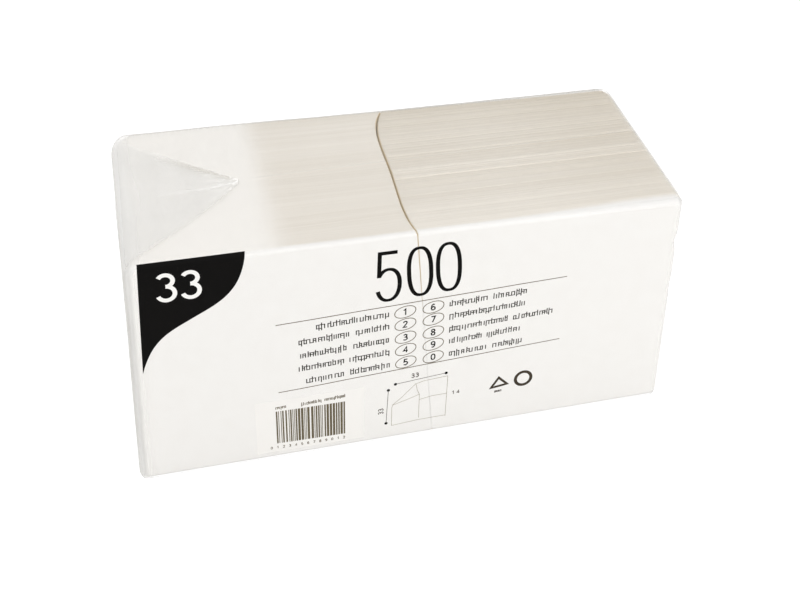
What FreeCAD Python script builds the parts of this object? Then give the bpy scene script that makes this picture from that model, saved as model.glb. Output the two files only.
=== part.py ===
"""A shelf pack of folded paper napkins in a clear film bag, modelled as a parametric document.

Two stacks of quarter-folded napkins stand on their edges side by side, so that the folded edges show as
fine lines on top and the flat leaves face the front. A clear film bag is drawn tight round both stacks.
Its left end is closed like a gift wrap, with one folded ear lying on top and one under the pack, and its
right end has both ears folded down onto the end. The black print sits on the film's front.

Frame: millimetres, +X along the pack, +Y from front to back, +Z up, origin at the middle of the underside.
"""
import FreeCAD, Part
import math
import os

doc = FreeCAD.newDocument("napkin_pack")

# Driving sizes, in millimetres

SIZES = {
    # a 33 cm napkin folded in quarters, a little pressed by the film
    "napkin_width": 165.0,
    "napkin_height": 163.6,
    "stack_depth": 144.6,
    "stack_gap": 3.0,
    "leaf_bundles": 36,
    "leaf_step": 1.1,
    # the film bag and the room that it leaves round the stacks
    "film_wall": 0.15,
    "film_play": 0.3,
    "slack_left": 8.5,
    "slack_right": 3.9,
    "left_end_radius": 8.0,
    "right_end_radius": 4.5,
    "long_edge_radius": 4.0,
    "ear_thickness": 0.3,
    "weld_thickness": 0.3,
    "weld_width": 7.0,
    "crease_width": 1.2,
    "crease_height": 0.25,
    # the print on the front: its ink, and the middle of its figures and of its rules
    "ink_thickness": 0.1,
    "figures_centre": 1.2,
    "rules_centre": 4.8,
    # the black field in the corner and the number left clear in it
    "field_left": 9.2,
    "field_width": 60.5,
    "field_height": 76.0,
    "field_numeral_height": 18.0,
    "field_numeral_width": 10.5,
    "field_numeral_stroke": 2.4,
    "field_numeral_inset": 9.0,
    # the rows of words and ovals between two rules
    "row_count": 5,
    "top_row_height": 105.2,
    "row_pitch": 10.2,
    "row_thickness": 2.2,
    "row_length": 54.0,
    "word_space": 2.4,
    "oval_width": 14.0,
    "oval_height": 7.6,
    "oval_line": 0.8,
    "oval_offset": 9.3,
    "rule_length": 185.0,
    "rule_thickness": 1.0,
    "rule_margin": 5.9,
    # the large numerals above the rules
    "numeral_lift": 3.5,
    "numeral_height": 38.8,
    "numeral_width": 16.6,
    "numeral_stroke": 2.6,
    "numeral_gap": 2.4,
    # the barcode, the pictogram and the two small marks below the rules
    "barcode_offset": 92.1,
    "barcode_foot": 9.5,
    "barcode_margin": 5.0,
    "barcode_side_margin": 11.0,
    "bar_count": 24,
    "bar_pitch": 1.9,
    "bar_height": 31.0,
    "pictogram_offset": 14.9,
    "pictogram_foot": 11.0,
    "pictogram_side": 32.0,
    "pictogram_line": 0.9,
    "arrow_gap": 4.4,
    "arrow_head": 2.2,
    "mark_foot": 28.0,
    "mark_side": 13.0,
    "mark_line": 2.0,
    "triangle_offset": 56.3,
    "ring_offset": 73.4,
}

sheet = doc.addObject("Spreadsheet::Sheet", "Sizes")
for row, (alias, value) in enumerate(SIZES.items(), start=1):
    sheet.set(f"A{row}", alias)
    sheet.set(f"B{row}", str(value))
    sheet.setAlias(f"B{row}", alias)
doc.recompute()


def size(alias):
    """The number in the sheet's cell of that name."""
    return float(sheet.get(alias))


# What follows from the driving sizes, as expressions

STACK_LENGTH = "(2 * Sizes.napkin_width + Sizes.stack_gap)"
PACK_LENGTH = f"({STACK_LENGTH} + Sizes.slack_left + Sizes.slack_right + 2 * Sizes.film_wall)"
PACK_DEPTH = "(Sizes.stack_depth + 2 * Sizes.film_play + 2 * Sizes.film_wall)"
FLOOR_GAP = "(Sizes.film_wall + Sizes.ear_thickness)"
PACK_HEIGHT = f"(Sizes.napkin_height + {FLOOR_GAP} + Sizes.film_play + Sizes.film_wall)"
LEFT_END = f"(-{PACK_LENGTH} / 2)"
RIGHT_END = f"({PACK_LENGTH} / 2)"
FRONT_FACE = f"(-{PACK_DEPTH} / 2)"
LEFT_STACK_START = f"({LEFT_END} + Sizes.film_wall + Sizes.slack_left)"
RIGHT_STACK_START = f"({LEFT_STACK_START} + Sizes.napkin_width + Sizes.stack_gap)"

RIGHT = FreeCAD.Vector(1, 0, 0)
BACK = FreeCAD.Vector(0, 1, 0)
UP = FreeCAD.Vector(0, 0, 1)
DOWN = FreeCAD.Vector(0, 0, -1)


def turned(first, second):
    """The rotation that lays a shape's own X along first and its own Y along second."""
    return FreeCAD.Rotation(first, second, first.cross(second), "XYZ")


def bind(thing, values, place):
    """Binds a primitive's sizes and its base point to expressions."""
    for name, expression in values.items():
        thing.setExpression(name, expression)
    for axis, expression in zip("xyz", place):
        thing.setExpression(f"Placement.Base.{axis}", expression)
    return thing


def block(name, length, width, height, place):
    """A box with its sizes along X, Y and Z and its lowest corner as expressions."""
    thing = doc.addObject("Part::Box", name)
    return bind(thing, {"Length": length, "Width": width, "Height": height}, place)


def prism(name, base, reach, thickness, place, rotation):
    """A flat triangle: its base lies between two values of its own X, and its tip at X = 0 and Y = reach."""
    thing = doc.addObject("Part::Wedge", name)
    thing.Placement = FreeCAD.Placement(FreeCAD.Vector(), rotation)
    values = {"Xmin": base[0], "Xmax": base[1], "X2min": "0", "X2max": "0", "Ymin": "0", "Ymax": reach}
    values.update({"Zmin": "0", "Z2min": "0", "Zmax": thickness, "Z2max": thickness})
    return bind(thing, values, place)


def join(name, things):
    """One solid from pieces that overlap or touch."""
    fused = doc.addObject("Part::MultiFuse", name)
    fused.Shapes = things
    return fused


def cut(name, base, tool):
    """The base with the tool's space taken out."""
    result = doc.addObject("Part::Cut", name)
    result.Base = base
    result.Tool = tool
    return result


def group(name, things):
    """Several separate solids in one shape."""
    compound = doc.addObject("Part::Compound", name)
    compound.Links = things
    return compound


def rounded(name, base, radius_of_edge):
    """The base with each straight edge rounded by the radius that radius_of_edge gives for it, if any."""
    doc.recompute()
    edges = []
    for number, edge in enumerate(base.Shape.Edges, start=1):
        radius = radius_of_edge(edge.tangentAt(edge.FirstParameter), edge.CenterOfMass)
        if radius > 0:
            edges.append((number, radius, radius))
    fillet = doc.addObject("Part::Fillet", name)
    fillet.Base = base
    fillet.Edges = edges
    return fillet


# Napkin stacks


def uneven(index, phase):
    """A share from 0 to 1 that wanders from one leaf bundle to the next."""
    return 0.5 + 0.5 * math.sin(2.4 * index + phase) * math.cos(0.7 * index * phase)


def cover_bundle(name, bundle, side):
    """The first or last bundle, with its long outer edges rounded where the film presses on them."""
    radius = size("long_edge_radius") - size("film_wall") - size("film_play")

    def outer_long_edge(direction, centre):
        along_pack = abs(direction.x) > 0.5
        at_face = side * centre.y > size("stack_depth") / 2 - size("film_wall")
        return radius if along_pack and at_face else 0

    return rounded(name, bundle, outer_long_edge)


def napkin_stack(label, start, phase):
    """A stack of folded napkins that stands on its edges, as bundles of leaves that are not quite in line."""
    last = int(size("leaf_bundles")) - 1
    depth = "Sizes.stack_depth / Sizes.leaf_bundles"
    bundles = []
    for index in range(last + 1):
        outer = index in (0, last)
        short = 0 if outer else uneven(index, phase)
        inset = 0 if outer else uneven(index, phase + 1)
        length = f"Sizes.napkin_width - {inset:.3f} * Sizes.leaf_step"
        height = f"Sizes.napkin_height - {short:.3f} * Sizes.leaf_step"
        place = (
            f"{start} + {inset / 2:.4f} * Sizes.leaf_step",
            f"-Sizes.stack_depth / 2 + {index} * {depth}",
            FLOOR_GAP,
        )
        bundle = block(f"{label}_bundle_{index}", length, depth, height, place)
        if outer:
            bundle = cover_bundle(f"{label}_cover_{index}", bundle, -1 if index == 0 else 1)
        bundles.append(bundle)
    stack = join(label, bundles)
    stack.Label = label
    return stack


stack_left = napkin_stack("napkin_stack_left", LEFT_STACK_START, 0.4)
stack_right = napkin_stack("napkin_stack_right", RIGHT_STACK_START, 1.7)

# Film bag


def bag_outline(name, drawn_in):
    """The bag's closed outline, drawn in on every side by a distance, with its edges rounded to match."""
    body = block(
        f"{name}_block",
        f"{PACK_LENGTH} - 2 * {drawn_in}",
        f"{PACK_DEPTH} - 2 * {drawn_in}",
        f"{PACK_HEIGHT} - 2 * {drawn_in}",
        (f"{LEFT_END} + {drawn_in}", f"{FRONT_FACE} + {drawn_in}", f"{drawn_in}"),
    )

    def edge_radius(direction, centre):
        if abs(direction.x) > 0.5:
            return size("long_edge_radius") - drawn_in
        if centre.x < 0:
            return size("left_end_radius") - drawn_in
        return size("right_end_radius") - drawn_in

    return rounded(name, body, edge_radius)


def ear(name, end_radius, place, base_to, tip_to):
    """A folded film ear: a flat triangle that is half as long as it is wide, on the flat part of the bag."""
    half = f"({PACK_DEPTH} / 2 - {end_radius})"
    return prism(name, (f"-{half}", half), half, "Sizes.ear_thickness", place, turned(base_to, tip_to))


def film_bag(label):
    """The film: a thin closed bag with its folded ears, the weld at each end and the crease along its top."""
    left_radius = "Sizes.left_end_radius"
    right_radius = "Sizes.right_end_radius"
    ear_start = f"{LEFT_END} + {left_radius}"
    upper_ear_top = f"{PACK_HEIGHT} - {right_radius}"
    ear_tip = f"{ear_start} + {PACK_DEPTH} / 2 - {left_radius}"
    crease_start = f"({ear_tip} - Sizes.crease_width)"
    crease_half = "Sizes.crease_width / 2"
    skin = cut("film_skin", bag_outline("film_outside", 0), bag_outline("film_inside", size("film_wall")))
    ears = [
        ear("left_ear_on_top", left_radius, (ear_start, "0", PACK_HEIGHT), -BACK, RIGHT),
        ear("left_ear_below", left_radius, (ear_start, "0", "Sizes.film_wall"), -BACK, RIGHT),
        ear("right_ear_upper", right_radius, (RIGHT_END, "0", upper_ear_top), -BACK, DOWN),
        ear("right_ear_lower", right_radius, (RIGHT_END, "0", right_radius), BACK, UP),
    ]
    left_weld = block(
        "left_weld",
        "Sizes.weld_thickness",
        "Sizes.weld_width",
        f"{PACK_HEIGHT} - 2 * {left_radius}",
        (f"{LEFT_END} - Sizes.weld_thickness", "0", left_radius),
    )
    right_weld = block(
        "right_weld",
        "Sizes.ear_thickness + Sizes.weld_thickness",
        "Sizes.weld_width",
        f"{PACK_HEIGHT} - 2 * {right_radius}",
        (RIGHT_END, "0", right_radius),
    )
    crease = prism(
        "top_crease",
        (f"-{crease_half}", crease_half),
        "Sizes.crease_height",
        f"{RIGHT_END} - {right_radius} - {crease_start}",
        (crease_start, "0", PACK_HEIGHT),
        turned(BACK, UP),
    )
    bag = join(label, [skin, *ears, left_weld, right_weld, crease])
    bag.Label = label
    return bag


film = film_bag("film_wrapper")

# Print on the front, as thin solids on the film

INK = "Sizes.ink_thickness"
LINE = "Sizes.pictogram_line"
ROOT_THREE = f"{math.sqrt(3):.4f}"
LOWEST_ROW = "(Sizes.top_row_height - (Sizes.row_count - 1) * Sizes.row_pitch)"
UPPER_RULE = "(Sizes.top_row_height + Sizes.rule_margin)"
NUMERAL_FOOT = f"({UPPER_RULE} + Sizes.rule_thickness + Sizes.numeral_lift)"
BARCODE_LEFT = "(Sizes.figures_centre - Sizes.barcode_offset)"
BAR_SHARES = (0.3, 0.5, 0.7)


def mark(name, left, foot, width, height, layer=1):
    """A flat rectangle of ink on the front. Layer 2 lies on a first layer of ink."""
    return block(name, width, INK, height, (left, f"{FRONT_FACE} - {layer} * {INK}", foot))


def disc(name, radius, centre, middle, start=0, sweep=360):
    """A flat disc of ink on the front, or a sector of one, with its angles from +X towards +Z."""
    thing = doc.addObject("Part::Cylinder", name)
    rotation = turned(RIGHT, UP).multiply(FreeCAD.Rotation(UP, start))
    thing.Placement = FreeCAD.Placement(FreeCAD.Vector(), rotation)
    thing.Angle = sweep
    return bind(thing, {"Radius": radius, "Height": INK}, (centre, FRONT_FACE, middle))


def triangle(name, half_base, reach, centre, foot, tip_to):
    """A flat triangle of ink on the front that points along tip_to."""
    out_of_front = -BACK
    rotation = turned(tip_to.cross(out_of_front), tip_to)
    return prism(name, (f"-{half_base}", half_base), reach, INK, (centre, FRONT_FACE, foot), rotation)


def capsule(name, centre, middle, width, height, upright):
    """A flat shape with two round ends, long upwards or along the pack."""
    across, along = (width, height) if upright else (height, width)
    run = f"({along} - {across})"
    half_run = f"{run} / 2"
    low = f"{across} / 2"
    ends = []
    for end, sign in (("low", "-"), ("high", "+")):
        if upright:
            place = (centre, f"{middle} {sign} {half_run}")
        else:
            place = (f"{centre} {sign} {half_run}", middle)
        ends.append(disc(f"{name}_{end}", low, *place))
    if upright:
        bar = mark(f"{name}_bar", f"{centre} - {low}", f"{middle} - {half_run}", across, run)
    else:
        bar = mark(f"{name}_bar", f"{centre} - {half_run}", f"{middle} - {low}", run, across)
    return join(name, ends + [bar])


def capsule_ring(name, centre, middle, width, height, line, upright=True):
    """The outline of a capsule, drawn with a line of even width."""
    outside = capsule(f"{name}_outside", centre, middle, width, height, upright)
    inner = (f"({width} - 2 * {line})", f"({height} - 2 * {line})")
    inside = capsule(f"{name}_inside", centre, middle, *inner, upright)
    return cut(name, outside, inside)


def bowl(name, centre, middle, radius, stroke, start=0, sweep=360):
    """A ring of ink, or the part of one that makes the bowl of a numeral."""
    outside = disc(f"{name}_outside", radius, centre, middle, start, sweep)
    inside = disc(f"{name}_inside", f"{radius} - {stroke}", centre, middle)
    return cut(name, outside, inside)


def zero(name, centre, foot, width, height, stroke):
    """The numeral 0 as an upright ring."""
    return capsule_ring(name, centre, f"({foot} + {height} / 2)", width, height, stroke)


def five(name, centre, foot, width, height, stroke):
    """The numeral 5: a top bar, an upright and a round bowl."""
    left = f"({centre} - {width} / 2)"
    radius = f"({width} / 2 + {stroke} / 2)"
    stem_foot = f"({foot} + 1.5 * {radius})"
    bar = mark(f"{name}_bar", left, f"{foot} + {height} - {stroke}", width, stroke)
    stem = mark(f"{name}_stem", left, stem_foot, stroke, f"{foot} + {height} - {stem_foot}")
    bowl_centre = f"{left} + {width} - {radius}"
    round_part = bowl(f"{name}_bowl", bowl_centre, f"{foot} + {radius}", radius, stroke, -150, 290)
    return join(name, [bar, stem, round_part])


def three(name, centre, foot, width, height, stroke):
    """The numeral 3: two round bowls, one on the other."""
    radius = f"({height} / 4 + {stroke} / 4)"
    bowl_centre = f"{centre} + {width} / 2 - {radius}"
    lower = bowl(f"{name}_lower", bowl_centre, f"{foot} + {radius}", radius, stroke, -160, 250)
    upper = bowl(f"{name}_upper", bowl_centre, f"{foot} + {height} - {radius}", radius, stroke, -90, 250)
    return join(name, [lower, upper])


def corner_field():
    """The black field in the upper left corner: a plain triangle with a number left clear in it."""
    left = f"({LEFT_END} + Sizes.field_left)"
    top = f"({PACK_HEIGHT} - Sizes.long_edge_radius)"
    field = prism(
        "corner_triangle",
        ("0", "Sizes.field_width"),
        "Sizes.field_height",
        INK,
        (left, f"{FRONT_FACE} - {INK}", top),
        turned(RIGHT, DOWN),
    )
    width = "Sizes.field_numeral_width"
    height = "Sizes.field_numeral_height"
    stroke = "Sizes.field_numeral_stroke"
    foot = f"({top} - Sizes.field_numeral_inset - {height})"
    numerals = []
    for place in range(2):
        centre = f"({left} + Sizes.field_numeral_inset + {width} / 2 + {place} * ({width} + {stroke}))"
        numerals.append(three(f"field_numeral_{place}", centre, foot, width, height, stroke))
    return cut("corner_field", field, group("field_numerals", numerals))


def count_numerals():
    """The large 500 in the middle of the front."""
    sizes = ("Sizes.numeral_width", "Sizes.numeral_height", "Sizes.numeral_stroke")
    figures = []
    for place, figure in enumerate((five, zero, zero)):
        centre = f"(Sizes.figures_centre + {place - 1} * (Sizes.numeral_width + Sizes.numeral_gap))"
        figures.append(figure(f"numeral_{place}", centre, NUMERAL_FOOT, *sizes))
    return figures


def rules():
    """The two long thin rules above and below the rows."""
    left = "Sizes.rules_centre - Sizes.rule_length / 2"
    lower_foot = f"{LOWEST_ROW} - Sizes.rule_margin - Sizes.rule_thickness"
    return [
        mark("upper_rule", left, UPPER_RULE, "Sizes.rule_length", "Sizes.rule_thickness"),
        mark("lower_rule", left, lower_foot, "Sizes.rule_length", "Sizes.rule_thickness"),
    ]


def word_rows():
    """Rows of plain bars either side of the middle, two words to a row, with an open oval beside each."""
    start = "(Sizes.oval_offset + Sizes.oval_width / 2 + Sizes.word_space)"
    marks = []
    for row in range(int(size("row_count"))):
        middle = f"(Sizes.top_row_height - {row} * Sizes.row_pitch)"
        foot = f"{middle} - Sizes.row_thickness / 2"
        for side, sign in (("left", -1), ("right", 1)):
            share = 0.78 + 0.22 * math.cos(3 * row + sign)
            split = 0.5 + 0.12 * math.sin(2 * row + sign)
            near = f"({share * split:.3f} * Sizes.row_length)"
            far = f"({share * (1 - split):.3f} * Sizes.row_length)"
            far_start = f"({start} + {near} + Sizes.word_space)"
            for word, offset, length in (("near", start, near), ("far", far_start, far)):
                left = f"Sizes.figures_centre + {offset}"
                if sign < 0:
                    left = f"Sizes.figures_centre - {offset} - {length}"
                marks.append(mark(f"{side}_row_{row}_{word}", left, foot, length, "Sizes.row_thickness"))
            oval_sizes = ("Sizes.oval_width", "Sizes.oval_height", "Sizes.oval_line")
            centre = f"(Sizes.figures_centre + {sign} * Sizes.oval_offset)"
            marks.append(capsule_ring(f"{side}_oval_{row}", centre, middle, *oval_sizes, upright=False))
    return marks


def barcode_bars():
    """Upright bars of three widths that encode nothing, on the white field."""
    bars = []
    for number in range(int(size("bar_count"))):
        share = BAR_SHARES[(5 * number * number + number) % len(BAR_SHARES)]
        left = f"{BARCODE_LEFT} + {number} * Sizes.bar_pitch"
        width = f"{share} * Sizes.bar_pitch"
        bars.append(mark(f"bar_{number}", left, "Sizes.barcode_foot", width, "Sizes.bar_height", layer=2))
    return bars


def barcode_white(label):
    """The white field under the bars, with a margin round them."""
    margin = "Sizes.barcode_margin"
    side_margin = "Sizes.barcode_side_margin"
    field = mark(
        label,
        f"{BARCODE_LEFT} - {side_margin}",
        f"Sizes.barcode_foot - {margin}",
        f"Sizes.bar_count * Sizes.bar_pitch + 2 * {side_margin}",
        f"Sizes.bar_height + 2 * {margin}",
    )
    field.Label = label
    return field


def arrow(name, left, foot, along, turn):
    """A dimension arrow with a head at each end, from a point on the front along RIGHT or UP."""
    head = "Sizes.arrow_head"
    run = f"{along} - 2 * {head}"
    if turn is RIGHT:
        shaft = mark(f"{name}_shaft", f"{left} + {head}", f"{foot} - {LINE} / 2", run, LINE)
        ends = ((f"{left} + {head}", foot, -RIGHT), (f"{left} + {along} - {head}", foot, RIGHT))
    else:
        shaft = mark(f"{name}_shaft", f"{left} - {LINE} / 2", f"{foot} + {head}", LINE, run)
        ends = ((left, f"{foot} + {head}", DOWN), (left, f"{foot} + {along} - {head}", UP))
    heads = [triangle(f"{name}_head_{end}", f"{head} / 2", head, *ends[end]) for end in range(2)]
    return join(name, [shaft] + heads)


def napkin_pictogram():
    """A line drawing of a folded napkin: an open square with one fold line, and an arrow along two sides."""
    left = "(Sizes.figures_centre - Sizes.pictogram_offset)"
    foot = "Sizes.pictogram_foot"
    side = "Sizes.pictogram_side"
    inner_side = f"{side} - 2 * {LINE}"
    outside = mark("pictogram_outside", left, foot, side, side)
    inside = mark("pictogram_inside", f"{left} + {LINE}", f"{foot} + {LINE}", inner_side, inner_side)
    fold = mark("pictogram_fold", f"{left} + {side} * 2 / 3", foot, LINE, side)
    napkin = join("pictogram_napkin", [cut("pictogram_frame", outside, inside), fold])
    across = arrow("arrow_across", left, f"{foot} + {side} + Sizes.arrow_gap", side, RIGHT)
    upright = arrow("arrow_upright", f"{left} - Sizes.arrow_gap", foot, side, UP)
    return [napkin, across, upright]


def small_marks():
    """A plain open triangle and a plain ring at the lower right."""
    line = "Sizes.mark_line"
    foot = "Sizes.mark_foot"
    half = "(Sizes.mark_side / 2)"
    inner_half = f"({half} - {ROOT_THREE} * {line})"
    centre = "(Sizes.figures_centre + Sizes.triangle_offset)"
    reach = f"{ROOT_THREE} * {half}"
    inner_reach = f"{ROOT_THREE} * {inner_half}"
    outside = triangle("triangle_outside", half, reach, centre, foot, UP)
    inside = triangle("triangle_inside", inner_half, inner_reach, centre, f"{foot} + {line}", UP)
    ring_centre = "(Sizes.figures_centre + Sizes.ring_offset)"
    ring = bowl("plain_ring", ring_centre, f"({foot} + {half})", half, line)
    return [cut("plain_triangle", outside, inside), ring]


def front_print(label):
    """All the black print on the front."""
    marks = [corner_field()] + count_numerals() + rules() + word_rows()
    marks += barcode_bars() + napkin_pictogram() + small_marks()
    printed = group(label, marks)
    printed.Label = label
    return printed


ink = front_print("front_print")
white = barcode_white("barcode_field")

# Every object is computed and valid before any file is written

doc.recompute()
for thing in doc.Objects:
    bad = [state for state in thing.State if state in ("Invalid", "Error")]
    if bad:
        raise RuntimeError(f"{thing.Name} failed: {bad}")
    shape = getattr(thing, "Shape", None)
    if shape is not None and (shape.isNull() or not shape.isValid()):
        raise RuntimeError(f"{thing.Name} has no valid shape")

os.makedirs("parts", exist_ok=True)
for part in (film, stack_left, stack_right, ink, white):
    part.Shape.exportStep(os.path.join("parts", f"{part.Label}.step"))
    bounds = part.Shape.BoundBox
    print(
        f"{part.Label}: {len(part.Shape.Solids)} solids, {part.Shape.Volume:.1f} mm3,"
        f" x {bounds.XMin:.2f} to {bounds.XMax:.2f}, y {bounds.YMin:.2f} to {bounds.YMax:.2f},"
        f" z {bounds.ZMin:.2f} to {bounds.ZMax:.2f}"
    )
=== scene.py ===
# %% [markdown]
# # A shelf pack of paper napkins
# Two stacks of quarter-folded tissue napkins stand on edge, side by side, in a bag of clear film. The
# napkins are white, matt and soft. The film is thin, glossy and slightly milky, and its left end is folded
# over the top as a triangular ear. A little black print sits on its front.
#
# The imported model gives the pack's true size and place. It is read first, and every number that follows is
# either one of its measures or a real size in millimetres.

import bmesh
import bpy
import numpy as np
from mathutils import Matrix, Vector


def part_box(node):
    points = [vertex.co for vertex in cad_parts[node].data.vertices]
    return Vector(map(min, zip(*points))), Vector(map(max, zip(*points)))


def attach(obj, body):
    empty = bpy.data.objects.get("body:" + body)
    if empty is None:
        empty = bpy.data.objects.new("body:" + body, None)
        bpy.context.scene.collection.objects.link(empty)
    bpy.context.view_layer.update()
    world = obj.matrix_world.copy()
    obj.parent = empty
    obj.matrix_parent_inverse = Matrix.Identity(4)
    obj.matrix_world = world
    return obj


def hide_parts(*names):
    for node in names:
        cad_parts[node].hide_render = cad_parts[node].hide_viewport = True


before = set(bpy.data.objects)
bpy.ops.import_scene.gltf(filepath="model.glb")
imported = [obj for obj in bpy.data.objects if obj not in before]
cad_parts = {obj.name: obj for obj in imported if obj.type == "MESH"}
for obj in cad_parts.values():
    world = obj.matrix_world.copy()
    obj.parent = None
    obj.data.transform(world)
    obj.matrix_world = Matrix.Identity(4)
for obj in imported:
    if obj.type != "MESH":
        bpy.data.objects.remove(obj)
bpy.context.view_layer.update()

MM = 0.001
BODY = "root"
film_low, film_high = (np.array(corner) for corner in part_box("film_wrapper"))
stack_boxes = {side: [np.array(c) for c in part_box(f"napkin_stack_{side}")] for side in ("left", "right")}
print("film from", film_low.round(4), "to", film_high.round(4))

# %% [markdown]
# The CAD film carries an ear on its top, a weld on its left end, and an ear with a weld on its right end.
# Each of them is 0.3 mm thick, so taking them off the film's box leaves the plain bag that the scene's film
# is drawn on.

# %% Measures of the bag
LAYER = 0.3 * MM
bag_left = film_low[0] + LAYER
bag_right = film_high[0] - 2 * LAYER
bag_front, bag_back = film_low[1], film_high[1]
bag_foot, bag_top = film_low[2], film_high[2] - LAYER
half_depth = (bag_back - bag_front) / 2
middle_depth = (bag_back + bag_front) / 2
print("bag length", round((bag_right - bag_left) / MM, 1), "depth", round(2 * half_depth / MM, 1))

# %% [markdown]
# The camera stands at the photograph's viewpoint: about half a metre away, a little to the left, and
# looking down by 35 degrees. A camera's own axes are right, up and backwards, so its matrix is those three
# directions side by side, after a small roll of the first two about the view direction.

# %% Camera
FRAME_WIDTH, FRAME_HEIGHT = 800, 600
SENSOR = 36.0
FOCAL_PIXELS = 1229.0
CENTRE_PIXEL = (430.0, 225.0)
camera_place = np.array([-166.97, -643.05, 579.35]) * MM
yaw, pitch, roll = np.radians([16.85, 34.62, 2.56])


def unit(vector):
    """The direction of a vector, or of each row of vectors: itself over its length."""
    return vector / np.linalg.norm(vector, axis=-1, keepdims=True)


def placed(axes, place):
    """The matrix of an object that stands at a place: its own three axes side by side, then the place."""
    return Matrix([(*row, at) for row, at in zip(np.stack(axes, 1), place)] + [(0, 0, 0, 1)])


forward = np.array([np.sin(yaw) * np.cos(pitch), np.cos(yaw) * np.cos(pitch), -np.sin(pitch)])
level_right = unit(np.cross(forward, [0, 0, 1.0]))
level_up = np.cross(level_right, forward)
camera_right = np.cos(roll) * level_right + np.sin(roll) * level_up
camera_up = np.cos(roll) * level_up - np.sin(roll) * level_right

camera = bpy.data.objects.new("camera", bpy.data.cameras.new("camera"))
bpy.context.scene.collection.objects.link(camera)
camera.matrix_world = placed([camera_right, camera_up, -forward], camera_place)
camera.data.sensor_width = SENSOR
camera.data.lens = FOCAL_PIXELS / FRAME_WIDTH * SENSOR
camera.data.shift_x = (FRAME_WIDTH / 2 - CENTRE_PIXEL[0]) / FRAME_WIDTH
camera.data.shift_y = (CENTRE_PIXEL[1] - FRAME_HEIGHT / 2) / FRAME_WIDTH
bpy.context.scene.camera = camera
print("lens", round(camera.data.lens, 2), "mm")

# %% [markdown]
# A mesh here is an array of points and an array of four-sided faces, worked out as a whole and put into
# Blender in one go. A surface on a grid of rows and columns has one face between each four neighbouring
# points. Points that fall together, as at a seam or a pole, are merged, and the faces are then turned
# outwards. A thin piece is a slab: a grid and its copy a little further out, joined back to back into a
# flat ring with two caps.

# %% From arrays to a mesh
def grid_faces(rows, columns, loop=True):
    """Faces between neighbouring points of a grid. With loop the last column also meets the first."""
    starts = columns if loop else columns - 1
    row, column = np.meshgrid(np.arange(rows - 1), np.arange(starts), indexing="ij")
    after = (column + 1) % columns
    corners = (row * columns + column, row * columns + after, (row + 1) * columns + after,
               (row + 1) * columns + column)
    return np.stack(corners, -1).reshape(-1, 4)


def slab(grid, normal, thickness):
    """A closed slab: a grid of points, the same grid moved along the normal, and a wall round the two."""
    upper = grid + normal * thickness[..., None]
    ring = np.concatenate([upper, grid[:, ::-1]], 1)
    rows, columns = ring.shape[:2]
    first = np.arange(columns // 2 - 1)
    caps = [np.stack([s + first, s + first + 1, s + columns - 2 - first, s + columns - 1 - first], -1)
            for s in (0, (rows - 1) * columns)]
    return ring.reshape(-1, 3), np.concatenate([grid_faces(rows, columns), *caps])


def make_piece(name, points, faces, values=None, merge=0.0):
    """A mesh object from points in metres. values holds one number a point for each named attribute."""
    mesh = bpy.data.meshes.new(name)
    mesh.vertices.add(len(points))
    mesh.vertices.foreach_set("co", np.asarray(points, np.float32).ravel())
    mesh.loops.add(faces.size)
    mesh.loops.foreach_set("vertex_index", faces.astype(np.int32).ravel())
    mesh.polygons.add(len(faces))
    mesh.polygons.foreach_set("loop_start", np.arange(0, faces.size, faces.shape[1], dtype=np.int32))
    mesh.update(calc_edges=True)
    for attribute, numbers in (values or {}).items():
        layer = mesh.attributes.new(attribute, "FLOAT", "POINT")
        layer.data.foreach_set("value", np.asarray(numbers, np.float32).ravel())
    solid = bmesh.new()
    solid.from_mesh(mesh)
    if merge > 0:
        bmesh.ops.remove_doubles(solid, verts=solid.verts, dist=merge)
        bmesh.ops.dissolve_degenerate(solid, edges=solid.edges, dist=merge)
    bmesh.ops.recalc_face_normals(solid, faces=solid.faces)
    open_edges = sum(1 for edge in solid.edges if not edge.is_manifold)
    solid.to_mesh(mesh)
    solid.free()
    mesh.polygons.foreach_set("use_smooth", np.ones(len(mesh.polygons), bool))
    piece = bpy.data.objects.new(name, mesh)
    bpy.context.scene.collection.objects.link(piece)
    print(name, len(mesh.polygons), "faces,", open_edges, "open edges")
    return piece


def finish_piece(piece, material, slot, *nodes, thin=False):
    """Gives a piece its material, lets it ride on the pack and stand for CAD nodes. Its slot is not used.

    Clear film hardly stops light, and ink lies too close to the paper for its shadow to show. So neither of
    them, as a thin piece, casts a shadow.
    """
    piece.data.materials.append(material)
    piece.visible_shadow = not thin
    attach(piece, BODY)
    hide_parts(*nodes)


# %% [markdown]
# Both the napkins and the bag are boxes with round edges, drawn as a row of loops. Each loop is a rectangle
# with round corners. Loops that shrink onto a line close the two ends.

# %% Loops with round corners
CORNER_POINTS = 5
# points of a seam or a pole that are nearer than this become one point
SEAM = 0.001 * MM


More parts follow.
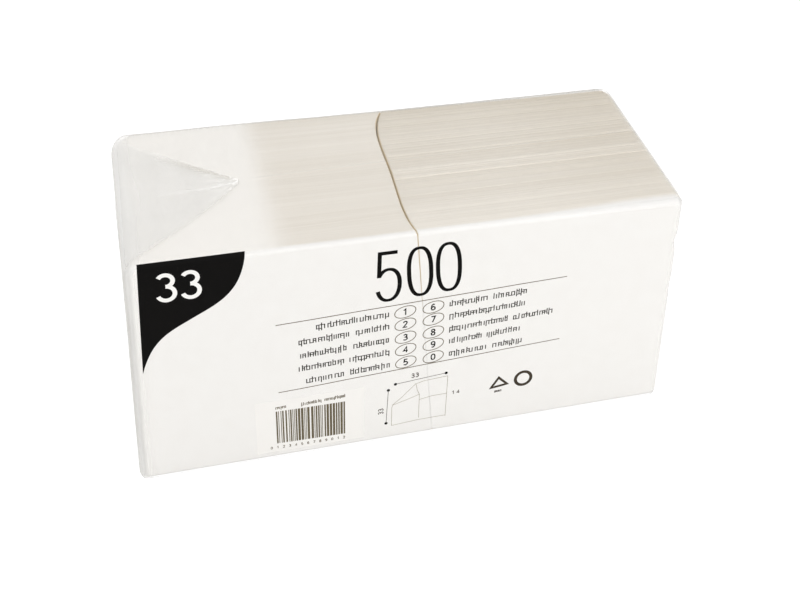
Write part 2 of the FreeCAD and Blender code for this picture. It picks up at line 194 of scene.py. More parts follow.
def rounded_loops(low_u, high_u, low_v, high_v, radii, shares):
    """One rectangle with round corners for each station, with its low and high sides as arrays.

    The corners run from high u and high v over low u to high u and low v, and each has its own radius. A
    corner point is its corner's centre plus the radius times the cosine and sine of its angle. Between two
    corners a point divides the straight side by a share from 0 to 1. Returns the points and the directions
    out of the loop.
    """
    reach = np.minimum(high_u - low_u, high_v - low_v) / 2
    arcs, arc_directions = [], []
    for turn, radius in enumerate(radii):
        radius = np.minimum(radius, reach)[:, None]
        u_centre = low_u[:, None] + radius if turn in (1, 2) else high_u[:, None] - radius
        v_centre = low_v[:, None] + radius if turn in (2, 3) else high_v[:, None] - radius
        angle = np.linspace(0, np.pi / 2, CORNER_POINTS) + turn * np.pi / 2
        arcs.append(np.stack([u_centre + radius * np.cos(angle), v_centre + radius * np.sin(angle)], -1))
        arc_directions.append(np.stack([np.cos(angle), np.sin(angle)], -1))
    points, directions = [], []
    for turn, share in enumerate(shares):
        start, end = arcs[turn][:, -1:], arcs[(turn + 1) % 4][:, :1]
        points += [arcs[turn], start + (end - start) * share[:, None]]
        directions += [arc_directions[turn], np.repeat(arc_directions[turn][-1:], len(share), 0)]
    return np.concatenate(points, 1), np.concatenate(directions, 0)


def even_shares(count):
    """Shares that divide a side evenly, without its two ends."""
    return np.arange(1, count + 1) / (count + 1)


def on_steps(places, count=19):
    """Places of a loop that has shrunk onto a line, moved to even steps along it, so that its sides meet."""
    low, high = places.min(), places.max()
    return low + np.round((places - low) / (high - low) * count) * (high - low) / count


# %% [markdown]
# Nothing soft is straight. A few plane waves with seeded directions and lengths add up to a gentle, natural
# unevenness, which is the same on each run. The whole pack also leans a little, as a soft block does on a
# shelf: each corner moves along the pack by its own amount, and everything between follows evenly.

# %% Gentle unevenness
def ripples(points, wavelength, seed, waves=6):
    """The mean of some sine waves of about one wavelength in random directions, from about -1 to 1."""
    random = np.random.default_rng(seed)
    directions = unit(random.normal(size=(waves, 3)))
    numbers = 2 * np.pi / wavelength * random.uniform(0.7, 1.4, (waves, 1))
    phases = random.uniform(0, 2 * np.pi, waves)
    return np.sin(points @ (directions * numbers).T + phases).mean(-1) * 1.6


def bell(distance, width):
    """A smooth hump that is 1 at distance 0 and fades over the width."""
    return np.exp(-(distance / width) ** 2)


def fade(distance, width):
    """Falls smoothly from 1 to 0 where the distance passes zero: 1 over 1 plus e to distance over width."""
    return 1 / (1 + np.exp(distance / width))


def ease(value):
    """Goes smoothly from 0 to 1 as the value does, and stays level outside: 3 v squared less 2 v cubed."""
    value = np.clip(value, 0, 1)
    return value * value * (3 - 2 * value)


# along the pack, in millimetres, for each end, for its front and back and for its foot and top
CORNER_SHIFTS = {
    ("left", "front"): (-4.6, 0.8),
    ("right", "front"): (3.0, -1.9),
    ("left", "back"): (0.0, 2.9),
    ("right", "back"): (0.0, 6.2),
}
FRONT_DROOP, DROOP_REACH, BACK_RISE, FOOT_BULGE = 2.4 * MM, 15 * MM, 1.5 * MM, 1.0 * MM
# the height, the depth and the reach of each pinch, and how far along and into the pack both of them reach
NOTCHES = ((130 * MM, 1.7 * MM, 4.5 * MM), (93 * MM, 0.8 * MM, 4.0 * MM))
PINCH_LENGTH, PINCH_DEPTH = 14 * MM, 24 * MM


def settle(points):
    """Leans the pack: a mean of the eight corner shifts, weighted by how near a point is to each corner.

    The top falls towards the front edge at the right and rises a little at the back on the left, and the
    front edge at the right end is pinched in twice. The front bulges at its foot.
    """
    right = np.clip((points[..., 0] - bag_left) / (bag_right - bag_left), 0, 1)
    back = np.clip((points[..., 1] - bag_front) / (2 * half_depth), 0, 1)
    top = np.clip((points[..., 2] - bag_foot) / (bag_top - bag_foot), 0, 1)
    shift = np.zeros(points.shape[:-1])
    for (end, face), (at_foot, at_top) in CORNER_SHIFTS.items():
        near = (right if end == "right" else 1 - right) * (back if face == "back" else 1 - back)
        shift += near * (at_foot * (1 - top) + at_top * top) * MM
    from_right, from_front = bag_right - points[..., 0], points[..., 1] - bag_front
    edge = ease(1 - from_right / PINCH_LENGTH) * ease(1 - from_front / PINCH_DEPTH)
    pinch = sum(depth * bell(points[..., 2] - height, reach) for height, depth, reach in NOTCHES)
    fall = FRONT_DROOP * ease(right * 1.6 - 0.65) * np.clip(1 - from_front / DROOP_REACH, 0, 1) ** 2
    settled = points.copy()
    settled[..., 0] += shift - pinch * edge
    settled[..., 1] -= FOOT_BULGE * (1 - back) ** 2 * (1 - top) ** 3
    settled[..., 2] += (BACK_RISE * ease(1.25 - 2 * right) * back ** 2 - fall) * top ** 6
    return settled


print("unevenness of a point", ripples(np.zeros((1, 3)), 40 * MM, 1).round(3))

# %% [markdown]
# ## Materials
# A colour is written as the sRGB hex value that the eye would read off the surface, and one function turns
# it into the linear numbers that the renderer works with. Another adds a node with its settings and its
# links.

# %% Colours and nodes
def linear(code):
    """An sRGB hex colour as linear red, green, blue and alpha."""
    parts = np.array([int(code[start:start + 2], 16) for start in (0, 2, 4)]) / 255
    parts = np.where(parts <= 0.04045, parts / 12.92, ((parts + 0.055) / 1.055) ** 2.4)
    return (*parts.tolist(), 1.0)


def add_node(tree, kind, inputs=None, **settings):
    """Adds a node. An input is a value, or another node's output, which is then linked."""
    node = tree.nodes.new(kind)
    for name, value in settings.items():
        setattr(node, name, value)
    for socket, value in (inputs or {}).items():
        if isinstance(value, bpy.types.NodeSocket):
            tree.links.new(value, node.inputs[socket])
        else:
            node.inputs[socket].default_value = value
    return node


def new_material(name):
    """An empty node material and its tree."""
    material = bpy.data.materials.new(name)
    material.use_nodes = True
    material.node_tree.nodes.clear()
    return material, material.node_tree


print("paper white is", np.round(linear("f6f3ee"), 3))

# %% [markdown]
# ### Tissue paper
# Single-ply tissue, creped and embossed with fine dots. It is matt, with hardly a highlight. The flat sheet
# on the front is a neutral white. The edges of hundreds of leaves look creamier and darker, because light
# gets lost between them, and that is painted shade: an attribute tells the edges from the flat sheets, and
# another gives each leaf its own shade, partly a chance tone and partly painted shade. A third marks the
# ends between the two stacks, which are painted a warm tan as painted shade, for light that has passed
# through much paper and comes out warm. The embossing is finer than a pixel on the real sheet, and is drawn
# at 1.7 mm so that it just shows.

# %% Tissue paper material
EMBOSS_PITCH, EMBOSS_HEIGHT = 1.7 * MM, 0.12 * MM
FIBRE_LENGTH = 9.0 * MM


def tissue_paper():
    """Creped, embossed tissue: flat sheets near white, leaf edges creamy with painted shade and a fine
    streak.
    """
    material, tree = new_material("tissue_paper_creped")
    place = add_node(tree, "ShaderNodeTexCoord").outputs["Object"]
    edge = add_node(tree, "ShaderNodeAttribute", attribute_name="leaf_edge").outputs["Fac"]
    shade = add_node(tree, "ShaderNodeAttribute", attribute_name="leaf_shade").outputs["Fac"]
    inner = add_node(tree, "ShaderNodeAttribute", attribute_name="gap_painted_shade").outputs["Fac"]
    # painted shade: leaf_shade runs from a darker cream, for recessed leaves and valleys, to a paler one
    leaf_colour = add_node(tree, "ShaderNodeMix", {
        "Factor": shade, "A": linear("c8bdaa"), "B": linear("f5f0e8")}, data_type="RGBA").outputs["Result"]
    cloud = add_node(tree, "ShaderNodeTexNoise", {
        "Vector": place, "Scale": 1 / FIBRE_LENGTH, "Detail": 3.0, "Roughness": 0.6}).outputs["Fac"]
    sheet_colour = add_node(tree, "ShaderNodeMix", {
        "Factor": cloud, "A": linear("efedea"), "B": linear("f5f4f2")}, data_type="RGBA").outputs["Result"]
    # painted shade: the leaf edges take the darker leaf colour, where light gets lost between the leaves
    colour = add_node(tree, "ShaderNodeMix", {
        "Factor": edge, "A": sheet_colour, "B": leaf_colour}, data_type="RGBA").outputs["Result"]
    # painted shade: the stacks' ends at the gap are tinted a warm tan
    colour = add_node(tree, "ShaderNodeMix", {
        "Factor": inner, "A": colour, "B": linear("e3cc9a")}, data_type="RGBA").outputs["Result"]
    dots = add_node(tree, "ShaderNodeTexVoronoi", {
        "Vector": place, "Scale": 1 / EMBOSS_PITCH, "Randomness": 0.15}).outputs["Distance"]
    fibres = add_node(tree, "ShaderNodeTexNoise", {
        "Vector": place, "Scale": 5 / FIBRE_LENGTH, "Detail": 4.0}).outputs["Fac"]
    height = add_node(tree, "ShaderNodeMath", {0: dots, 1: fibres}, operation="ADD").outputs["Value"]
    bump = add_node(tree, "ShaderNodeBump", {
        "Height": height, "Strength": 0.12, "Distance": EMBOSS_HEIGHT}).outputs["Normal"]
    paper = add_node(tree, "ShaderNodeBsdfPrincipled", {
        "Base Color": colour, "Roughness": 0.95, "Specular IOR Level": 0.15, "Normal": bump})
    add_node(tree, "ShaderNodeOutputMaterial", {"Surface": paper.outputs["BSDF"]})
    return material


paper = tissue_paper()
print("material", paper.name)

# %% [markdown]
# ## The napkin stacks
# Each stack holds about 250 folded napkins, pressed to 0.58 mm each. Seen from above it is a block of fine
# ridges. A box with a printed stripe pattern would look flat at its edges, so every napkin is a real ridge:
# the outline loop is carried through the stack from front to back, and swells and shrinks from leaf to
# leaf. Packs are filled in handfuls, so whole groups of leaves also sit a little lower or higher than the
# next group.

# %% Leaf edges
LEAVES = 250
GROUPS = 17
GROUP_STEP = 0.75 * MM
LEAF_STEP = 0.30 * MM
VALLEY_DEPTH = 0.34 * MM


def leaf_steps(seed):
    """How far each leaf's edge lies inside the stack's outline: a step for its group, and one of its own."""
    random = np.random.default_rng(seed)
    starts = np.sort(random.beta(0.7, 0.7, GROUPS - 1)) * LEAVES
    group = np.searchsorted(starts, np.arange(LEAVES))
    drift = np.convolve(random.random(LEAVES), np.ones(9) / 9, "same")
    group_step = GROUP_STEP * (0.65 * random.random(GROUPS)[group] + 0.35 * drift)
    return group_step + LEAF_STEP * random.random(LEAVES)


print("leaf pitch", round(2 * half_depth / LEAVES / MM, 2), "mm")

# %% [markdown]
# The two stacks don't meet in a straight line. Seen from above, the gap between them bends along a soft
# curve, and on the front it leans to the right on its way down. A fourth-degree curve through six places
# gives the bend.

# %% The gap between the stacks
GAP_DEPTHS = (61.6, 47.6, 3.2, -17.3, -48.8, -70.5)
GAP_MIDDLES = (1.6, -1.3, -3.3, -2.9, -4.4, -1.5)
GAP_LEAN = 15.0 * MM
# the gap's width in millimetres at shares of the way to the back: shut at both ends, where the film presses
GAP_SHARES = (0.0, 0.03, 0.12, 0.55, 0.93, 0.98, 1.0)
GAP_WIDTHS = (0.0, 0.0, 0.5, 0.65, 0.9, 0.3, 0.1)
GAP_FLOOR = 7 * MM
# below this height the two front sheets touch with square edges, and over the next stretch they part
CLOSED_BELOW, CLOSING_HEIGHT = 95 * MM, 45 * MM
# how far left of the middle the milky film of the ear on top begins, below which the valleys are painted
# paler as painted light from the film, and how softly it begins
EAR_REACH, EAR_SOFTNESS = 85.5 * MM, 3.5 * MM
gap_curve = np.polyfit(GAP_DEPTHS, GAP_MIDDLES, 4)


def gap_side(depth, height, side):
    """Where a stack's inner end lies: half of the gap's width from its middle. The gap narrows downwards."""
    back = (depth - bag_front) / (2 * half_depth)
    lean = GAP_LEAN * (bag_top - height) / (bag_top - bag_foot) * (1 - 0.6 * back)
    middle = np.polyval(gap_curve, depth / MM) * MM + lean
    open_above = 0.05 + 0.95 * ease(1 - (bag_top - height) / GAP_FLOOR)
    half_gap = np.interp(back, GAP_SHARES, GAP_WIDTHS) * MM / 2 * open_above
    return middle - half_gap if side == "left" else middle + half_gap


# %% [markdown]
# A stack is then one closed grid: loops that open out over the front sheet, two loops for each leaf, and
# loops that close over the back sheet. Where the film presses the first and last leaves, the outline is
# rounded off.

# %% Napkin stacks
SHEET_LOOPS = 15
ROLL_WIDER = 4.5 * MM
STACK_SHARES = [even_shares(n) for n in (44, 26, 18, 26)]
# the loops of the leaves, crest and valley by turns, and the leaf that each loop belongs to
leaf_loops = np.arange(2 * LEAVES + 1)
leaf_of_loop = np.minimum(leaf_loops // 2, LEAVES - 1)
is_valley = (leaf_loops % 2 == 0) & (leaf_loops > 0) & (leaf_loops < 2 * LEAVES)
# how far each loop of a flat sheet has closed; the last lies close to the leaf, which keeps its edge sharp
sheet_closing = np.append(np.linspace(1, 0, SHEET_LOOPS - 1, endpoint=False), 0.004)
# the sides are counted as top, left, foot and right, also in the lists below; this one lies at the gap
INNER_SIDE = {"left": 3, "right": 1}
# how far the first and last leaves are rounded off on each of the sides, at the front and at the back
PRESSED_FRONT = {"left": (3.0, 2.4, 1.6, 0.5), "right": (3.6, 0.5, 1.6, 4.0)}
PRESSED_BACK = {"left": (0.4, 9.0, 2.0, 1.2), "right": (0.4, 1.2, 2.0, 10.0)}
STEP_SHARES = {"left": (0.45, 0.5, 0.4, 0.25), "right": (1.15, 0.25, 0.4, 0.5)}
LEAF_CORNERS = {"left": (0.9, 5.6, 2.0, 0.9), "right": (4.2, 0.9, 0.9, 3.2)}
# how far the loose ends of the napkins reach past the model's block, towards the film
LOOSE_ENDS = {"left": 6.0, "right": 4.2}
# how much darker the leaves get at the back edge, within how many millimetres, and on the way there
DARK_BACK = {"left": (0.45, 4.0, 0.0), "right": (0.52, 11.0, 0.20)}
# the leaves step in and out from this far inside the first and the last, and the tops sag in long waves
LEVEL_REACH, SAG, SAG_LENGTH = 5 * MM, 0.35 * MM, 90 * MM


def pressed_in(distance, radius):
    """How far a side is drawn in at a distance from an end: a quarter circle of that radius."""
    missing = np.clip(radius - distance, 0, radius)
    return radius - np.sqrt(radius ** 2 - missing ** 2)


def leaf_inset(side, number, from_front, from_back, step, reach):
    """How far the loops are drawn in on one side: by the pressed edges, the leaf's step and the valleys.

    The loops of the two sheets go on from the first and the last leaf and are drawn in up to the reach.
    """
    inset = (pressed_in(from_front, PRESSED_FRONT[side][number] * MM)
             + pressed_in(from_back, PRESSED_BACK[side][number] * MM) + step + VALLEY_DEPTH * is_valley)
    front_sheet = inset[0] + (reach - inset[0]) * sheet_closing
    back_sheet = inset[-1] + (reach - inset[-1]) * sheet_closing[::-1]
    return np.concatenate([front_sheet, inset, back_sheet])


def met_at_gap(points, side, weights, from_front, outer, inner):
    """Where points lie along the pack once the stack's inner end follows the gap.

    Near the foot the two front sheets touch, so what the pressed edge takes away is given back there. Then
    each point moves by its share of the way from the outer end to the inner one.
    """
    inner_side = INNER_SIDE[side]
    edge_gone = np.pad(pressed_in(from_front, PRESSED_FRONT[side][inner_side] * MM), SHEET_LOOPS)
    closed = 1 - ease((points[..., 2] - CLOSED_BELOW) / CLOSING_HEIGHT)
    x = points[..., 0] + np.sign(inner - outer) * weights[inner_side] * edge_gone[:, None] * closed
    share = (x - outer) / (inner - outer)
    return x + share * (gap_side(points[..., 1], points[..., 2], side) - inner)


def leaf_looks(side, seed, x, depth, weights, step):
    """What the points tell the paper: how much leaf edge shows, how pale it is, and the gap's painted shade.

    The pressed roll at the front shows as flat sheet. A leaf is paler the further it stands out, and a
    valley darker, which is painted shade, and each leaf has a chance share of its own. Leaves darken towards
    the back edge, and at the right end. Under the ear on top the valleys are painted paler and flatter, as
    painted light that the milky film spreads there.
    """
    from_front, from_back = depth - depth[0], depth[-1] - depth
    rolled = (weights * np.array(PRESSED_FRONT[side])[:, None] * MM).sum(0)
    rolled = rolled + ROLL_WIDER * ease((x - 30 * MM) / (130 * MM)) * weights[0]
    on_edge = ease((np.minimum(from_front, 3 * from_back)[:, None] / rolled - 0.45) / 0.7)
    own_tone = np.random.default_rng(seed + 9).random(LEAVES)[leaf_of_loop]
    # painted shade: a leaf that lies further in is darker, and a valley darker still
    tone = own_tone * 0.30 + 0.70 * (1 - step / step.max())
    tone = 0.53 + 0.47 * tone * (1 - 0.6 * is_valley)
    tone = np.pad(tone, SHEET_LOOPS, constant_values=1.0)
    darker, within, slope = DARK_BACK[side]
    shade = tone * (1 - darker * np.exp(-from_back / (within * MM)))
    shade = shade - slope * ease(1.6 * from_front / from_front[-1])
    shade = shade[:, None] - 0.16 * ease((x - 60 * MM) / (100 * MM)) * (side == "right")
    # painted light: under the ear the leaves are paler and show less of their darker edge
    painted_light_under_ear = fade(x + EAR_REACH, EAR_SOFTNESS)
    shade = shade + 0.75 * painted_light_under_ear * (1 - shade)
    # the gap's painted shade: a warm tan on the inner ends, but not on the front and back sheets
    gap_painted_shade = np.clip(weights[INNER_SIDE[side]] * 2 - 0.6, 0, 1) * np.ones_like(shade)
    gap_painted_shade[:SHEET_LOOPS + 1], gap_painted_shade[-SHEET_LOOPS - 1:] = 0, 0
    return {"leaf_edge": on_edge * (1 - 0.5 * painted_light_under_ear), "leaf_shade": np.clip(shade, 0, 1),
            "gap_painted_shade": gap_painted_shade}


def napkin_stack(side, seed):
    """One stack: loops through its depth, each drawn in by the pressed edge, its leaf's step and its valley.

    The top sags a little in waves. On the sheets the sag fades as the loops close, so they meet in a line.
    """
    low, high = (corner.copy() for corner in stack_boxes[side])
    low[0] -= LOOSE_ENDS["left"] * MM * (side == "left")
    high[0] += LOOSE_ENDS["right"] * MM * (side == "right")
    depth = np.linspace(low[1], high[1], len(leaf_loops))
    from_front, from_back = depth - low[1], high[1] - depth
    loose = ease(np.minimum(from_front, from_back) / LEVEL_REACH)
    steps = [leaf_steps(seed + number)[leaf_of_loop] * share * loose
             for number, share in enumerate(STEP_SHARES[side])]
    top_in, left_in, foot_in, right_in = (
        leaf_inset(side, number, from_front, from_back, step, (high[2] - low[2]) / 2)
        for number, step in enumerate(steps))
    corners = [np.full(len(top_in), radius * MM) for radius in LEAF_CORNERS[side]]
    loops, directions = rounded_loops(
        low[0] + left_in, high[0] - right_in, low[2] + foot_in, high[2] - top_in, corners, STACK_SHARES)
    depth = np.pad(depth, SHEET_LOOPS, mode="edge")
    points = np.stack([loops[..., 0], np.broadcast_to(depth[:, None], loops.shape[:-1]), loops[..., 1]], -1)

    opened = 1 - np.concatenate([sheet_closing, np.zeros(len(leaf_loops)), sheet_closing[::-1]])[:, None]
    sag = SAG * (1 + ripples(points * (1, 3, 0), SAG_LENGTH, seed + 7)) / 2
    points[..., 2] -= sag * np.clip(directions[:, 1], 0, 1) * opened
    points[0, :, 0], points[-1, :, 0] = on_steps(points[0, :, 0]), on_steps(points[-1, :, 0])
    sideways = np.stack([directions[:, 1], -directions[:, 0], -directions[:, 1], directions[:, 0]])
    weights = np.clip(sideways, 0, 1) ** 2
    ends = (low[0], high[0]) if side == "left" else (high[0], low[0])
    points[..., 0] = met_at_gap(points, side, weights, from_front, *ends)
    values = leaf_looks(side, seed, points[..., 0], depth, weights, steps[0])
    faces = grid_faces(*points.shape[:2])
    piece = make_piece(f"napkins_{side}", settle(points).reshape(-1, 3), faces, values, merge=SEAM)
    finish_piece(piece, paper, "napkin_paper", f"napkin_stack_{side}")


for side, seed in (("left", 20), ("right", 40)):
    napkin_stack(side, seed)

# %% [markdown]
# ### Clear film
# The bag is polyethylene film, blown and heat-sealed. It is clear, but each layer scatters a little light,
# and where it lies loose or in several layers it turns milky. So the material is mostly a Transparent
# shader, with a glossy white one mixed in by the milkiness that each point carries and by the angle of
# view: head on a surface reflects a few hundredths of the light, and at a grazing angle most of it, with
# the fifth power of how far it turns away. At a sharp fold and at the film's very rim the white is painted
# grey, as painted shade. Fine creases come from a stretched noise in the bump.

# %% Clear film material
CREASE_LENGTH, CREASE_HEIGHT = 28.0 * MM, 1.2 * MM
HEAD_ON, AT_GRAZING = 0.035, 0.8
GRAZING_POWER, RIM_POWER = 5.0, 14.0


def clear_film():
    """Clear film: transparent, with a glossy milky share that grows where folded and edge on, painted grey
    there.
    """
    material, tree = new_material("polyethylene_film_clear")
    place = add_node(tree, "ShaderNodeTexCoord").outputs["Object"]
    milk = add_node(tree, "ShaderNodeAttribute", attribute_name="milk").outputs["Fac"]
    fold = add_node(tree, "ShaderNodeAttribute", attribute_name="fold").outputs["Fac"]
    stretched = add_node(tree, "ShaderNodeMapping", {
        "Vector": place, "Scale": (0.35, 1.0, 1.0), "Rotation": (0.3, 0.2, 0.5)}).outputs["Vector"]
    crease = add_node(tree, "ShaderNodeTexNoise", {
        "Vector": stretched, "Scale": 1 / CREASE_LENGTH, "Detail": 5.0, "Roughness": 0.55,
        "Distortion": 0.6}).outputs["Fac"]
    bump = add_node(tree, "ShaderNodeBump", {
        "Height": crease, "Strength": 0.5, "Distance": CREASE_HEIGHT}).outputs["Normal"]
    facing = add_node(tree, "ShaderNodeLayerWeight", {"Blend": 0.5, "Normal": bump}).outputs["Facing"]
    grazing, edge_on = (
        add_node(tree, "ShaderNodeMath", {0: facing, 1: power}, operation="POWER").outputs["Value"]
        for power in (GRAZING_POWER, RIM_POWER))
    # painted shade: the white turns grey at marked folds and at the very rim
    rim = add_node(tree, "ShaderNodeMath", {0: edge_on, 1: fold}, operation="MAXIMUM").outputs["Value"]
    colour = add_node(tree, "ShaderNodeMix", {
        "Factor": rim, "A": linear("fdfcfa"), "B": linear("a8a28f")}, data_type="RGBA").outputs["Result"]
    skin = add_node(tree, "ShaderNodeBsdfPrincipled", {
        "Base Color": colour, "Roughness": 0.2, "IOR": 1.49, "Specular IOR Level": 0.9, "Normal": bump})
    mirror = add_node(tree, "ShaderNodeMapRange", {
        "Value": grazing, "To Min": HEAD_ON, "To Max": AT_GRAZING}).outputs["Result"]
    share = add_node(tree, "ShaderNodeMath", {0: milk, 1: mirror}, operation="ADD", use_clamp=True)
    clear = add_node(tree, "ShaderNodeBsdfTransparent").outputs["BSDF"]
    mixed = add_node(tree, "ShaderNodeMixShader", {
        0: share.outputs["Value"], 1: clear, 2: skin.outputs["BSDF"]})
    add_node(tree, "ShaderNodeOutputMaterial", {"Surface": mixed.outputs["Shader"]})
    return material


film_clear = clear_film()
print("material", film_clear.name)

# %% [markdown]
# ## The film bag
# The film is drawn tight over the stacks, stands a little loose at the left end, and is pinched in at its
# corners. It is the same kind of grid as a stack, with its loops across the pack instead of along it. Its
# waves only push outwards, so it never cuts into the napkins. A Solidify modifier gives the skin its
# thickness.

# %% How the film lies
LONG_EDGE = 4.2 * MM
BACK_EDGE, FOOT_EDGE_FRONT, FOOT_EDGE_BACK, SOFTER = 2.2 * MM, 1.2 * MM, 3.0 * MM, 2.5 * MM
# the radius at which each side turns into the pack's end: top, front, foot and back
LEFT_TURN = {"top": 8.5 * MM, "front": 5.5 * MM, "foot": 3.5 * MM, "back": 11.0 * MM}
RIGHT_TURN = {"top": 6.0 * MM, "front": 5.0 * MM, "foot": 4.5 * MM, "back": 11.0 * MM}
CREASE_START, CREASE_SLOPE, CREASE_DEPTH = -97.0 * MM, 0.026, 3.5 * MM
CROSS_RIPPLES = ((-85.5 * MM, 0.34 * MM, -34.0 * MM), (-79.5 * MM, 0.30 * MM, -34.0 * MM),
                 (96.0 * MM, 0.22 * MM, 35.0 * MM), (124.0 * MM, 0.18 * MM, 20.0 * MM))


def finish_film(piece):
    """Finishes a piece of the bag's film, which takes the CAD wrapper's place."""
    finish_piece(piece, film_clear, "clear_film", "film_wrapper", thin=True)


def crease_line(along):
    """The depth of the long crease on the top, which drifts backwards along the pack."""
    return middle_depth + CREASE_DEPTH + CREASE_SLOPE * (along - CREASE_START)


def film_rise(points, directions):
    """How far the film stands off its drawn shape: long waves all over, and creases on the top."""
    slack = 0.16 * MM * (1 + ripples(points, 70 * MM, 3)) + 0.03 * MM * (1 + ripples(points, 19 * MM, 4))
    up = np.clip(directions[..., 2], 0, 1) ** 2
    x, y = points[..., 0], points[..., 1]
    past_ear = np.clip((x - CREASE_START) / (12 * MM), 0, 1)
    crease = 0.4 * MM * bell(y - crease_line(x), 0.9 * MM) * past_ear
    cross = sum(rise * bell(x - at, 2.6 * MM) * bell(y - depth, 32 * MM)
                for at, rise, depth in CROSS_RIPPLES)
    return slack + up * (crease + cross)


# %% [markdown]
# The stations along the bag lie close together at the left, where the folds are, and at the rounded ends.
# On the top, the points of each loop crowd together where the long crease runs, and the grid is sheared to
# follow it.

# %% Film bag
END_LOOPS, TURN_LOOPS = 16, 8
WALL = 0.06 * MM
top_shares = np.concatenate([
    np.linspace(0, 0.455, 28)[1:], np.linspace(0.462, 0.51, 14), np.linspace(0.52, 1, 28)[:-1]])
FILM_SHARES = [top_shares, even_shares(72), even_shares(10), even_shares(18)]
# how far the stations of the ends reach, where the left end's folds stop, and the steps before and after
TURN_REACH, CLOSE_REACH, FOLDS_UNTIL = 11 * MM, 12 * MM, -66 * MM
FINE_STEP, COARSE_STEP = 1.0 * MM, 2.8 * MM
# the film over the back edge of the top looks thick, so it is milky there, and more so to the right; it is
# also painted grey there, as painted shade
BACK_LINE_START, BACK_LINE_RISE = 2.6 * MM, 1.6 * MM


def along_bag():
    """Stations along the bag: its distances from both ends, and how far each loop has closed over an end."""
    turn = TURN_REACH * (1 - np.cos(np.linspace(0, np.pi / 2, TURN_LOOPS)))
    middle = np.concatenate([
        np.arange(bag_left + CLOSE_REACH, FOLDS_UNTIL, FINE_STEP),
        np.arange(FOLDS_UNTIL, bag_right - CLOSE_REACH, COARSE_STEP)])
    x = np.concatenate([
        np.full(END_LOOPS, bag_left), bag_left + turn, middle, (bag_right - turn)[::-1],
        np.full(END_LOOPS, bag_right)])
    closing = np.zeros(len(x))
    closing[:END_LOOPS] = np.linspace(1, 0, END_LOOPS, endpoint=False)
    closing[-END_LOOPS:] = closing[:END_LOOPS][::-1]
    return x, closing


def milkiness(points, directions):
    """How milky the film is: hardly on the flat front, more where it is loose or folded at the ends."""
    x, up = points[..., 0], np.clip(directions[..., 2], 0, 1)
    edge_of_ear = x + EAR_REACH + 1.5 * MM * points[..., 1] / half_depth
    over_ear = fade(edge_of_ear, EAR_SOFTNESS)
    left_end = fade(x - bag_left - 7 * MM, 1.6 * MM)
    right_end = fade(bag_right - 2.5 * MM - x, 0.8 * MM)
    patchy = 0.88 + 0.12 * ripples(points * (1, 0.3, 1), 26 * MM, 12)
    return 0.02 + patchy * (0.20 * over_ear * up + 0.42 * left_end + 0.30 * right_end)


def film_bag():
    """The bag's skin: loops across the pack, drawn in as they turn into each end and close onto its middle.

    The way that the film faces tilts from sideways at an end to outwards, so its waves follow the rounded
    edge.
    """
    x, closing = along_bag()
    insets = {}
    for part in ("top", "front", "foot", "back"):
        turned = pressed_in(x - bag_left, LEFT_TURN[part]) + pressed_in(bag_right - x, RIGHT_TURN[part])
        insets[part] = turned + (half_depth - turned) * closing
    edges = [np.full(len(x), radius) for radius in (BACK_EDGE, LONG_EDGE, FOOT_EDGE_FRONT, FOOT_EDGE_BACK)]
    edges[1] += SOFTER * ease((x - 20 * MM) / (140 * MM))
    loops, outward = rounded_loops(
        bag_front + insets["front"], bag_back - insets["back"], bag_foot + insets["foot"],
        bag_top - insets["top"], edges, FILM_SHARES)
    stations, around = loops.shape[:2]
    points = np.stack([np.broadcast_to(x[:, None], (stations, around)), loops[..., 0], loops[..., 1]], -1)
    points[0, :, 2], points[-1, :, 2] = on_steps(points[0, :, 2]), on_steps(points[-1, :, 2])
    near_left = np.clip(1 - (x - bag_left) / (9 * MM), 0, 1)
    near_right = np.clip(1 - (bag_right - x) / (7 * MM), 0, 1)
    tilt = np.pi / 2 * (near_right - near_left)
    directions = np.zeros((stations, around, 3))
    directions[..., 0] = np.sin(tilt)[:, None]
    directions[..., 1:] = np.cos(tilt)[:, None, None] * outward[None]
    crease_start = middle_depth + CREASE_DEPTH
    shear = np.clip(outward[:, 1], 0, 1) * bell((points[..., 1] - crease_start) / half_depth, 0.45)
    points[..., 1] += shear * (crease_line(points[..., 0]) - crease_start) * (closing == 0)[:, None]
    back_line = ease((points[..., 1] - bag_back + BACK_LINE_START) / BACK_LINE_RISE)
    back_line = back_line * np.clip(directions[..., 2] * 1.5, 0, 1)
    line_milk = 0.36 + 0.24 * ease((points[..., 0] + 10 * MM) / (60 * MM))
    milk = np.maximum(milkiness(points, directions), line_milk * back_line)
    points += directions * (film_rise(points, directions) * (1 - closing[:, None]))[..., None]
    # painted shade: the fold value greys the film's white along the back edge
    values = {"milk": milk, "fold": 0.9 * back_line}
    faces = grid_faces(stations, around)
    bag = make_piece("film_bag", settle(points).reshape(-1, 3), faces, values, merge=SEAM)
    wall = bag.modifiers.new("wall", "SOLIDIFY")
    wall.thickness = WALL
    wall.offset = -1
    finish_film(bag)


film_bag()

# %% [markdown]
# ## The folded ears
# When a film tube is sealed square, the spare film at each end stands out as two triangles. On the left one
# of them is folded over the top and one under the pack; on the right both lie on the end. The weld runs
# along the middle of each. Near its tip the stiff film crumples into small facets that catch the light, and
# painted glints of white are added on them.

# %% Folded ears
EAR_ROWS, EAR_COLUMNS = 110, 90
# how many radians the rays that meet at the tip run through, from the middle to a side
RAYS_TURN = 17


